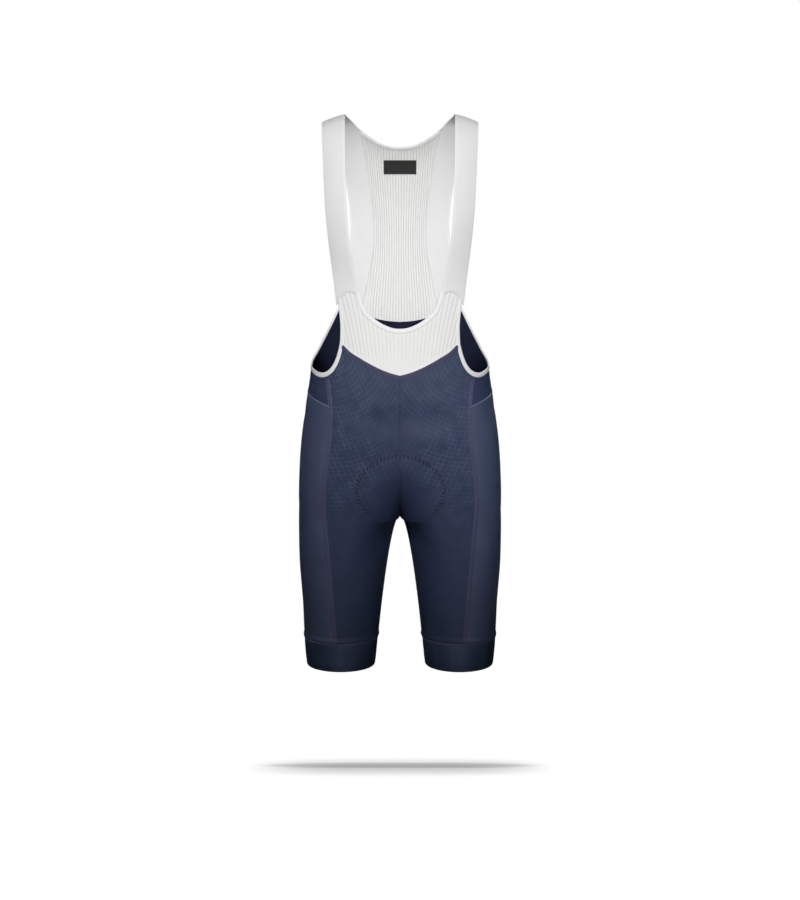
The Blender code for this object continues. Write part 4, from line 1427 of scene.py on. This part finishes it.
def back_rib_places(base, middle):
    """The same on the back mesh, whose ribs spread with its width. middle is its middle column."""
    run = run_across(base)
    widest = run[:, -1].max()
    return (run - run[:, middle:middle + 1]) * between(1.0, widest / run[:, -1:], RIB_SPREAD)


def ribbed(name, base, u, pitch, rib_relief, shown, material):
    """A mesh panel whose ribs stand out on both faces."""
    normals = grid_normals(base)
    rib = np.cos(2 * math.pi * u / pitch) * rib_relief * shown
    outer = base + normals * rib[..., None]
    inner = base - normals * (MESH_WALL + rib)[..., None]
    maps = {"weave": (u, base[..., 2]), "tone": (shown, shown)}
    return shell(name, outer, inner, maps, material), outer


def make_mesh_panels():
    base = joined_at_first(bib_grid())
    across, height = np.abs(base[..., 0]), base[..., 2]
    # the holes fade out towards the V seam
    shown = ease(-392, -352, height + across * 0.32)
    piece, outer = ribbed("front_mesh_cloth", base, front_rib_places(base), FRONT_RIB_PITCH,
                          FRONT_RIB_RELIEF, shown, FRONT_MESH)
    dress(piece, outer, "front_mesh_panel", "white_mesh", BRACES)
    half = back_mesh_grid()
    base = joined_at_last(half)
    # and on the back beside the braces
    across = np.abs(base[..., 0])
    shown = ease(66, 44, across - ease(-150, -60, base[..., 2]) * 8) * 0.85 + 0.15
    places = back_rib_places(base, half.shape[1] - 1)
    piece, outer = ribbed("back_mesh_cloth", base, places, BACK_RIB_PITCH, BACK_RIB_RELIEF, shown,
                          BACK_MESH)
    dress(piece, outer, "back_mesh_panel", "white_mesh", BRACES)
    return base


# ---------------------------------------------------------------- bindings and stitching

# A folded tape wraps the edge of the cloth. It reaches back over the cloth by its tuck, stands
# proud of it, and is flat with round ends. Its hollow is a share of its section.
TAPE_TUCK = 0.7
TAPE_PROUD = 0.55
TAPE_WALL = 1.2
TAPE_HOLLOW = 0.55
TAPE_COLUMNS = 18
TAPE_ROUNDNESS = (0.55, 0.7)
# How far round its section the knit of the tape runs at each radian
TAPE_CURL = 2.2

# Single stitches: each is a bead of thread that bows outwards and is thinner at its ends. The rings
# of a bead are the share of its length and of its radius.
Stitch = namedtuple("Stitch", "pitch length radius lift thread")
TAPE_STITCH = Stitch(3.0, 2.1, 0.27, 0.0, WHITE_THREAD)
LABEL_STITCH = Stitch(2.4, 1.5, 0.22, 0.05, NAVY_THREAD)
TACK_STITCH = Stitch(0.7, 2.6, 0.3, 0.0, WHITE_THREAD)
TAPE_STITCH_INSET = 0.6
BEAD_RINGS = ((-0.5, 0.25), (-0.38, 0.8), (0.0, 1.0), (0.38, 0.8), (0.5, 0.25))
BEAD_SIDES = 6
BEAD_BOW = 0.2
# How far before and behind a stitch the way of its row is measured
NEARBY = 0.2


def tube(name, path, normals, toward, widths, material):
    """A folded tape along a path: it wraps the cloth's edge and reaches over the opening."""
    along = unit(np.gradient(path, axis=0))
    across = unit(np.cross(normals, along)) * toward
    angles = np.linspace(0, 2 * math.pi, TAPE_COLUMNS, endpoint=False)
    reach = np.sign(np.cos(angles)) * np.abs(np.cos(angles)) ** TAPE_ROUNDNESS[0]
    lift = np.sign(np.sin(angles)) * np.abs(np.sin(angles)) ** TAPE_ROUNDNESS[1]
    half = (widths + TAPE_TUCK) / 2
    thick = TAPE_PROUD + TAPE_WALL / 2
    centre = path + across * (half - TAPE_TUCK)[:, None] - normals * (TAPE_WALL / 2)
    out = across[:, None] * (reach[None] * half[:, None])[..., None]
    out = out + normals[:, None] * (lift * thick)[None, :, None]
    u = np.broadcast_to(angles * TAPE_CURL, out.shape[:2])
    v = np.broadcast_to(run_along(path)[:, None], out.shape[:2])
    order = slice(None, None, 1 if toward > 0 else -1)
    outer = (centre[:, None] + out)[:, order]
    inner = (centre[:, None] + out * TAPE_HOLLOW)[:, order]
    return shell(name, outer, inner, {"weave": (u, v)}, material, ring=True)


def stitch_row(name, path, normals, stitch):
    """A row of single stitches along a path, in one mesh."""
    run = run_along(path)
    at = np.arange(stitch.pitch / 2, run[-1], stitch.pitch)
    centre = points_at(path, run, at)
    way_out = unit(points_at(normals, run, at))
    along = unit(points_at(path, run, at + NEARBY) - points_at(path, run, at - NEARBY))
    side = np.cross(way_out, along)
    points, faces = [], []
    for middle, out, ahead, aside in zip(centre, way_out, along, side):
        first = len(points)
        for share, size in BEAD_RINGS:
            for k in range(BEAD_SIDES):
                angle = 2 * math.pi * k / BEAD_SIDES
                spoke = aside * math.cos(angle) + out * math.sin(angle)
                lift = out * (stitch.lift + stitch.radius * BEAD_BOW * (1 - (2 * share) ** 2))
                place = middle + ahead * share * stitch.length
                points.append(place + spoke * stitch.radius * size + lift)
        for i in range(len(BEAD_RINGS) - 1):
            for k in range(BEAD_SIDES):
                here = first + i * BEAD_SIDES + k
                beside = first + i * BEAD_SIDES + (k + 1) % BEAD_SIDES
                faces.append((here, beside, beside + BEAD_SIDES, here + BEAD_SIDES))
        faces.append(tuple(range(first + BEAD_SIDES - 1, first - 1, -1)))
        last = first + (len(BEAD_RINGS) - 1) * BEAD_SIDES
        faces.append(tuple(range(last, last + BEAD_SIDES)))
    mesh = bpy.data.meshes.new(name)
    mesh.from_pydata((np.array(points) * MM).tolist(), [], faces)
    return make_piece(name, mesh, stitch.thread)


def mirror_path(path, normals):
    return path * (-1, 1, 1), normals * (-1, 1, 1)


# Width of the armhole binding at shares of the way from the bib to the back mesh
ARMHOLE_WIDTHS = (
    (0, 4.6), (0.12, 4.8), (0.3, 6.6), (0.42, 7.2), (0.5, 6.6), (0.6, 4.8), (0.75, 3.1), (1, 2.9),
)
ROUTE_STEP = 2.0
# Where the armhole's tape starts by the brace, and how far above the back mesh the nape's tape
# starts and joins the nape
ARMHOLE_START = -279.5
NAPE_RISE = (9.0, 1.5)


def armhole_route():
    heights = np.linspace(ARMHOLE_START, BIB_SIDE[0].height, 60)
    turns = smooth(BIB_SIDE, np.minimum(heights, BIB_SIDE[-1].height))
    low_turns = np.linspace(ARMHOLE_SEAM[0].turn, BACK_CORNER, 260)[1:]
    turns = np.concatenate((turns, low_turns))
    heights = np.concatenate((heights, smooth(ARMHOLE_SEAM, low_turns)))
    path, normals = route_on_body(turns, heights, ROUTE_STEP)
    return settle(path, normals), normals


def scoop_route():
    turns = np.linspace(0, NECK_CORNER, 80)
    path, normals = route_on_body(turns, smooth(SCOOP_SEAM, turns), ROUTE_STEP)
    path = np.concatenate((path[::-1], path[1:] * (-1, 1, 1)))
    return path, np.concatenate((normals[::-1], normals[1:] * (-1, 1, 1)))


def outward_at(path):
    """The ways out at points on the back of the body, on either half."""
    turns = turn_at(np.abs(path[:, 0]), path[:, 2], 180, 90)
    normals = outward(turns, path[:, 2])
    normals[:, 0] = np.copysign(normals[:, 0], path[:, 0])
    return normals


def nape_route(back):
    """Along the nape, with both ends carried on up the inner edges of the braces."""
    rise = brace_inner_edge(back[0, 0, 2] + np.linspace(*NAPE_RISE, 5))
    edge = np.concatenate((rise, back[0], flip(rise[None])[0]))
    path = resampled(edge, ROUTE_STEP)
    return path, outward_at(path)


def bind(name, path, normals, toward, widths, node, rests_on):
    """A stitched tape along an edge of the cloth, to the side of the path that toward gives."""
    piece = tube(name, path, normals, toward, widths, BINDING_CLOTH)
    along = unit(np.gradient(path, axis=0))
    across = unit(np.cross(normals, along)) * toward
    row = path + across * TAPE_STITCH_INSET + normals * TAPE_PROUD
    stitches = stitch_row(name.replace("tape", "stitches"), row, normals, TAPE_STITCH)
    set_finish(stitches, "white_binding")
    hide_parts(node)
    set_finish(piece, "white_binding")
    width = round(float(2 * (widths.mean() + TAPE_TUCK)) * MM, 4)
    length = round(float(run_along(path)[-1]) * MM, 3)
    SHEETS.append((name, (width, length), width * length))


NECK_TAPE_WIDTH = 7.2
# The nape's tape narrows towards its ends, from this share of its half length
NAPE_TAPE_WIDTH = 5.0
NAPE_TAPE_END = 1.2
NAPE_TAPE_TAPER = 0.86


def make_bindings(back):
    path, normals = armhole_route()
    widths = np.interp(np.linspace(0, 1, len(path)), *zip(*ARMHOLE_WIDTHS))
    bind("armhole_tape_left", path, normals, 1, widths, "armhole_binding_left",
         ["front_panel_left", "back_yoke"])
    bind("armhole_tape_right", *mirror_path(path, normals), -1, widths, "armhole_binding_right",
         ["front_panel_right", "back_yoke"])
    path, normals = scoop_route()
    widths = np.full(len(path), NECK_TAPE_WIDTH)
    bind("neck_tape", path, normals, -1, widths, "neck_binding", ["front_mesh_panel"])
    path, normals = nape_route(back)
    ends = np.abs(np.linspace(-1, 1, len(path)))
    widths = between(NAPE_TAPE_WIDTH, NAPE_TAPE_END, ease(NAPE_TAPE_TAPER, 1, ends))
    bind("back_neck_tape", path, normals, 1, widths, "back_neck_binding", ["back_mesh_panel"])


# The bands of stitching over the seams. offset moves a band sideways from its seam.
SeamBand = namedtuple("SeamBand", "name width offset material slot lift crown")
BANDS = table(
    SeamBand,
    ("side_seam", 7.6, 0, LEG_SEAM, "navy_knit", 0.25, 0.3),
    ("vee_seam", 7.2, -4.0, NAVY_SEAM, "navy_knit", 0.25, 0.3),
    ("vee_edge", 2.0, 0.9, WHITE_THREAD, "white_mesh", 0.55, 0.25),
    ("waist_seam", 3.4, 0, WAIST_SEAM, "navy_knit", 0.25, 0.35),
    ("front_seam", 1.7, 0, DARK_SEAM, "navy_knit", -0.05, 0.2),
    ("back_seam", 7.0, 0, NAVY_SEAM, "navy_side_knit", 0.25, 0.3),
    ("inseam", 7.0, 0, NAVY_SEAM, "navy_side_knit", 0.25, 0.3),
    ("gripper_seam", 3.2, -1.4, WAIST_SEAM, "navy_gripper", 0.3, 0.45),
    ("brace_end_seam", 4.0, 0, WHITE_SEAM, "white_binding", 0.6, 0.3),
    ("back_mesh_seam", 4.6, 0, WHITE_SEAM, "white_binding", 0.5, 0.3),
)
BAND_COLUMNS = 9
# Steps along an upright band, by the crotch and away from it, and along one that runs round
FINE_STEP = 0.6
INSEAM_FINE_STEP = 0.8
COARSE_STEP = 1.6
SEAM_STEP = 1.5
BRACE_END_STEP = 1.2
# How far below the seam above it each upright band starts, and how far above the gripper it ends
SIDE_START = 6.5
FRONT_START = 7
BACK_START = 1
INSEAM_START = 2
GRIPPER_CLEAR = 1
# Where the band at the end of a brace stops, by the armhole, and how far before the brace the
# back mesh's one starts
BRACE_END_TURN = 48.0
BACK_MESH_START = 1.5
# The bands that join the braces to the back mesh lie on both faces of it. The way is 1 on the
# outer face.
MeshFace = namedtuple("MeshFace", "face way lift")
MESH_BAND_FACES = table(MeshFace, ("outer", 1, 0.45), ("inner", -1, 1.35))
MESH_BAND_WIDTH = 3.4
MESH_BAND_CROWN = 0.25


def lay_band(name, turns, heights, both=True, ring=False):
    """Lays a seam band along a line on the body, on the left and, with both, on the right.

    A line that is given with both as False may run from one half of the body to the other.
    """
    band = next(row for row in BANDS if row.name == name)
    reach = band.offset + np.linspace(-0.5, 0.5, BAND_COLUMNS) * band.width
    base, out = band_places(turns, heights, reach, ring)
    for side in ("left", "right") if both else ("",):
        if side == "right":
            base, out, reach = flip(base), flip(out), reach[::-1]
        piece = strip(f"{name}_{side}".rstrip("_"), settle(base, out), out, reach - band.offset,
                      band.material, band.lift, band.crown)
        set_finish(piece, band.slot)


def over_front(turns, heights):
    """A line from the centre front to the left, begun on the right: turns and heights."""
    return np.concatenate((-turns[:0:-1], turns)), np.concatenate((heights[:0:-1], heights))


def over_back(turns, heights):
    """A line from the left to the centre back, carried on to the right: turns and heights."""
    over = 360 - turns
    return np.concatenate((turns, over[-2::-1])), np.concatenate((heights, heights[-2::-1]))


def seam_steps(seam, first, last, step, points):
    """Even steps along a seam between two turns: turns and heights."""
    turns = np.linspace(first, last, points)
    return even_steps(turns, smooth(seam, turns), step)


def make_seams():
    low = GRIPPER_TOP + GRIPPER_CLEAR
    top = SIDE_SEAM[-1].height - SIDE_START
    heights = graded(top, low, CROTCH, FINE_STEP, COARSE_STEP)
    lay_band("side_seam", side_turn(heights), heights)
    route = over_front(*seam_steps(VEE_SEAM, 0, VEE_SEAM[-1].turn, SEAM_STEP, points=160))
    lay_band("vee_seam", *route, both=False)
    lay_band("vee_edge", *route, both=False)
    start = float(side_turn(YOKE_SEAM[1].height))
    route = over_back(*seam_steps(YOKE_SEAM, start, 180, SEAM_STEP, points=220))
    lay_band("waist_seam", *route, both=False)
    heights = graded(VEE_SEAM[0].height - FRONT_START, CROTCH, CROTCH, FINE_STEP, COARSE_STEP)
    lay_band("front_seam", 0 * heights, heights, both=False)
    heights = graded(YOKE_SEAM[-1].height - BACK_START, CROTCH, CROTCH, FINE_STEP, COARSE_STEP)
    lay_band("back_seam", 180 + 0 * heights, heights, both=False)
    top = CROTCH - INSEAM_START
    heights = graded(top, low, top, INSEAM_FINE_STEP, COARSE_STEP)
    lay_band("inseam", 0 * heights, heights, ring=True)
    turns = np.linspace(0.0, 180.0, 260)
    lay_band("gripper_seam", turns, np.full(len(turns), GRIPPER_TOP), ring=True)


def make_white_seams(back):
    route = seam_steps(BRACE_SEAM, NECK_CORNER, BRACE_END_TURN, BRACE_END_STEP, points=60)
    lay_band("brace_end_seam", *route)
    start = BACK_CORNER - BACK_MESH_START
    route = over_back(*seam_steps(BACK_SEAM, start, 180, SEAM_STEP, points=150))
    lay_band("back_mesh_seam", *route, both=False)
    edge = resampled(back[:, 0], SEAM_STEP)
    out = outward(turn_at(edge[:, 0], edge[:, 2], 180, 90), edge[:, 2])
    across = unit(np.cross(out, unit(np.gradient(edge, axis=0))))
    reach = np.linspace(-0.5, 0.5, BAND_COLUMNS) * MESH_BAND_WIDTH
    for side in ("left", "right"):
        for face, way, lift in MESH_BAND_FACES:
            points = edge[:, None] + across[:, None] * reach[None, :, None]
            ways = np.broadcast_to(out[:, None], points.shape)
            if (side == "right") != (way < 0):
                points, ways = points[:, ::-1], ways[:, ::-1]
            if side == "right":
                points, ways = points * (-1, 1, 1), ways * (-1, 1, 1)
            name = f"brace_back_seam_{face}_{side}"
            piece = strip(name, points, ways * way, reach, WHITE_SEAM, lift, MESH_BAND_CROWN)
            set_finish(piece, "white_binding")


make_front_panels()
make_side_back_panels()
make_waist()
make_grippers()
make_braces()
back_base = make_mesh_panels()
make_bindings(back_base)
make_seams()
make_white_seams(back_base)


# ---------------------------------------------------------------- label and bar tacks

LABEL_ROWS = 24
LABEL_COLUMNS = 28
LABEL_CLEAR = 0.2
LABEL_WALL = 0.6
# Each end is turned under: where its fold begins and is full, from the end, and how thick it is
LABEL_FOLD = (5, 4)
LABEL_FOLD_RISE = 0.3
LABEL_STITCH_INSET = 2
# The rows of the back mesh beside which the bar tacks lie, and how far they stand off each face
TACK_ROWS = slice(6, 14)
TACK_LIFTS = {"outer": 0.7, "inner": -1.9}


def make_label():
    """A plain label sewn to the inside of the back mesh."""
    half_height, half_width = LABEL_HEIGHT / 2, LABEL_WIDTH / 2
    heights = np.linspace(LABEL_MIDDLE + half_height, LABEL_MIDDLE - half_height, LABEL_ROWS)
    xs = np.linspace(half_width, 0, LABEL_COLUMNS)
    turns, fit = back_mesh_edge(heights)
    turn = turn_at(np.broadcast_to(xs, (LABEL_ROWS, LABEL_COLUMNS)), heights[:, None], 180, 90)
    share = (180 - turn) / (180 - turns[:, None])
    half = half_place(turn, heights[:, None]) + fit[:, None] * (share ** 2)[..., None]
    base = joined_at_last(half)
    normals = grid_normals(base)
    outer = base - normals * (MESH_WALL + BACK_RIB_RELIEF + LABEL_CLEAR)
    across = np.concatenate((xs, -xs[-2::-1]))
    u = np.broadcast_to(across, outer.shape[:2])
    v = np.broadcast_to((heights - LABEL_MIDDLE)[:, None], outer.shape[:2])
    fold = ease(half_width - LABEL_FOLD[0], half_width - LABEL_FOLD[1], np.abs(across))
    inner = outer - normals * (LABEL_WALL + fold * LABEL_FOLD_RISE)[None, :, None]
    piece = shell("label_cloth", outer, inner, {"weave": (u, v)}, LABEL_CLOTH)
    kept = slice(LABEL_STITCH_INSET, -LABEL_STITCH_INSET)
    stitched = inner[kept, kept]
    for number, line in enumerate((stitched[:, 0], stitched[:, -1])):
        row = stitch_row(f"label_stitches_{number + 1}", line, -normals[kept, LABEL_STITCH_INSET],
                         LABEL_STITCH)
        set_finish(row, "black_label")
    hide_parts("back_label")
    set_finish(piece, "black_label")


def make_bar_tacks(back):
    """A short dense row of thread where each brace meets the back neck."""
    for side, column in (("left", 0), ("right", -1)):
        corner = back[TACK_ROWS, column]
        normals = outward_at(corner)
        for face, way in (("outer", 1), ("inner", -1)):
            row = stitch_row(f"bar_tack_{face}_{side}", corner + normals * TACK_LIFTS[face],
                             normals * way, TACK_STITCH)
            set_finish(row, "white_elastic")


make_label()
make_bar_tacks(back_base)


# ---------------------------------------------------------------- floor, light and camera

FLOOR_HEIGHT = -1.078
FLOOR_RADIUS = 1.5
FLOOR_SIDES = 96
FLOOR_WHITE = (0.9, 0.9, 0.9, 1)
FLOOR_ROUGHNESS = 0.9
# The floor fades out from this share of its radius
FLOOR_FADE = 0.6
# How bright the world is for the cloth; the camera sees it as white
STUDIO_GLOW = 0.010
CAMERA_PLACE = (0.0, -2.97080, -0.12182)
CAMERA_DOWN = 8.0
CAMERA_LENS = 72.727
CAMERA_REACH = 50
SENSOR = 36.0

# The shadow below the shorts is painted on the floor as two ovals, a wide soft one and a narrow
# one within it. Each has its half sizes, the place of its middle in depth, the shares of its half
# sizes where it is full and where it ends, and how dark it is.
Oval = namedtuple("Oval", "across deep middle inner outer dark")
SHADOW = table(
    Oval,
    (0.285, 0.064, -0.010, 0.05, 1.0, 0.42),
    (0.250, 0.0165, 0.0, 0.60, 1.0, 0.20),
)


def make_floor():
    """A white floor that fades into the white of the studio, with a soft shadow painted into its glow.
    """
    mesh = bpy.data.meshes.new("floor")
    turns = np.linspace(0, 2 * math.pi, FLOOR_SIDES, endpoint=False)
    points = np.stack((np.cos(turns), np.sin(turns), 0 * turns), 1) * FLOOR_RADIUS
    mesh.from_pydata(points.tolist(), [], [tuple(range(len(points)))])
    paint = Cloth("floor_paint", specular=0.0)
    blotch = paint.noise(3.0)
    place = paint.node("ShaderNodeTexCoord", output=3)
    across, deep = (paint.node("ShaderNodeSeparateXYZ", None, [place], i) for i in range(2))
    far = paint.node("ShaderNodeVectorMath", {"operation": "LENGTH"}, [place], 1)
    light = blotch * 0.02 + 1.0
    for oval in SHADOW:
        x, y = across / oval.across, (deep - oval.middle) / oval.deep
        # the painted shadow: each oval darkens the floor's glow
        light = light - (x ** 4 + y * y).math("SQRT").step(oval.outer, oval.inner) * oval.dark
    shader = paint.shader
    shader.inputs["Base Color"].default_value = FLOOR_WHITE
    paint.put(shader.inputs["Alpha"], far.step(FLOOR_RADIUS, FLOOR_RADIUS * FLOOR_FADE))
    shader.inputs["Roughness"].default_value = FLOOR_ROUGHNESS
    paint.put(shader.inputs["Emission Color"], paint.mix(light, (0, 0, 0), (1, 1, 1)))
    shader.inputs["Emission Strength"].default_value = 1
    mesh.materials.append(paint.material)
    floor = bpy.data.objects.new("floor", mesh)
    floor.location.z = FLOOR_HEIGHT
    floor.visible_diffuse = False
    floor.visible_glossy = False
    bpy.context.scene.collection.objects.link(floor)
    return floor


# lights names what a lamp shines on, and spread is the width of its beam in degrees
Lamp = namedtuple("Lamp", "name lights place target size power spread")
LAMPS = table(
    Lamp,
    ("navy_key", "navy", (-0.35, -2.3, 1.9), (0.0, -0.1, -0.15), (1.2, 0.9), 4.7, 24),
    ("navy_fill", "navy", (0.0, -3.2, -0.8), (0, 0, -0.62), (1.0, 0.3), 9.7, 180),
    ("navy_left", "navy", (-1.7, -2.4, 0.9), (-0.10, -0.07, -0.36), (0.4, 0.5), 0.75, 14),
    ("navy_right", "navy", (1.6, -2.4, 0.8), (0.17, -0.05, -0.42), (0.4, 0.5), 0.8, 10),
    ("navy_back", "navy", (0.0, 3.8, 1.6), (0, 0, -0.45), (0.8, 1.4), 150, 180),
    ("white_key", "white", (0.0, -4.2, 2.1), (0, 0, -0.35), (2.2, 1.2), 192, 180),
    ("white_fill", "white", (0.1, -4.2, -0.3), (0, 0, -0.5), (3.4, 2.6), 70, 180),
    ("white_back", "white", (0.4, 3.8, 1.6), (0, 0, -0.45), (2.4, 1.4), 150, 180),
)
# The front lamps of the white cloth shine past these
SHADOWLESS = ("brace_elastic_", "front_mesh_cloth", "neck_tape")


def make_light(floor):
    """Soft lamps for the navy cloth and for the white cloth."""
    groups = {name: bpy.data.collections.new("lit_" + name) for name in ("navy", "white")}
    for thing in bpy.context.scene.objects:
        if thing.type == "MESH" and thing is not floor:
            kind = "navy" if thing.get("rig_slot", "").startswith("navy") else "white"
            groups[kind].objects.link(thing)
    groups["blocking"] = bpy.data.collections.new("blocking")
    for thing in bpy.context.scene.objects:
        if thing.name.startswith(SHADOWLESS):
            groups["blocking"].objects.link(thing)
    for entry in groups["blocking"].collection_objects:
        entry.light_linking.link_state = "EXCLUDE"
    for lamp in LAMPS:
        light = bpy.data.lights.new(lamp.name, "AREA")
        light.shape = "RECTANGLE"
        light.size, light.size_y = lamp.size
        light.energy = lamp.power
        light.spread = math.radians(lamp.spread)
        stand = bpy.data.objects.new(lamp.name, light)
        stand.location = lamp.place
        way = Vector(lamp.target) - Vector(lamp.place)
        stand.rotation_euler = way.to_track_quat("-Z", "Y").to_euler()
        bpy.context.scene.collection.objects.link(stand)
        stand.light_linking.receiver_collection = groups[lamp.lights]
        stand.visible_glossy = "back" not in lamp.name
        if lamp.name in ("white_key", "white_fill"):
            stand.light_linking.blocker_collection = groups["blocking"]
    world = bpy.data.worlds.new("studio")
    world.use_nodes = True
    tree = world.node_tree
    background = tree.nodes["Background"]
    background.inputs["Color"].default_value = (1, 1, 1, 1)
    seen = tree.nodes.new("ShaderNodeLightPath")
    strength = tree.nodes.new("ShaderNodeMapRange")
    strength.inputs["To Min"].default_value = STUDIO_GLOW
    strength.inputs["To Max"].default_value = 1.0
    tree.links.new(seen.outputs["Is Camera Ray"], strength.inputs["Value"])
    tree.links.new(strength.outputs[0], background.inputs["Strength"])
    world.cycles_visibility.glossy = False
    bpy.context.scene.world = world
    bpy.context.scene.view_settings.view_transform = "Standard"


def make_camera():
    camera = bpy.data.cameras.new("camera")
    camera.lens = CAMERA_LENS
    camera.sensor_width = SENSOR
    camera.clip_end = CAMERA_REACH
    seat = bpy.data.objects.new("camera", camera)
    seat.location = CAMERA_PLACE
    seat.rotation_euler = (math.radians(90 - CAMERA_DOWN), 0, 0)
    bpy.context.scene.collection.objects.link(seat)
    bpy.context.scene.camera = seat


make_light(make_floor())
make_camera()

for sheet_name, flat, area in SHEETS:
    print(f"cut {sheet_name}: {flat[0]:.3f} x {flat[1]:.3f} m, {area:.4f} m2")
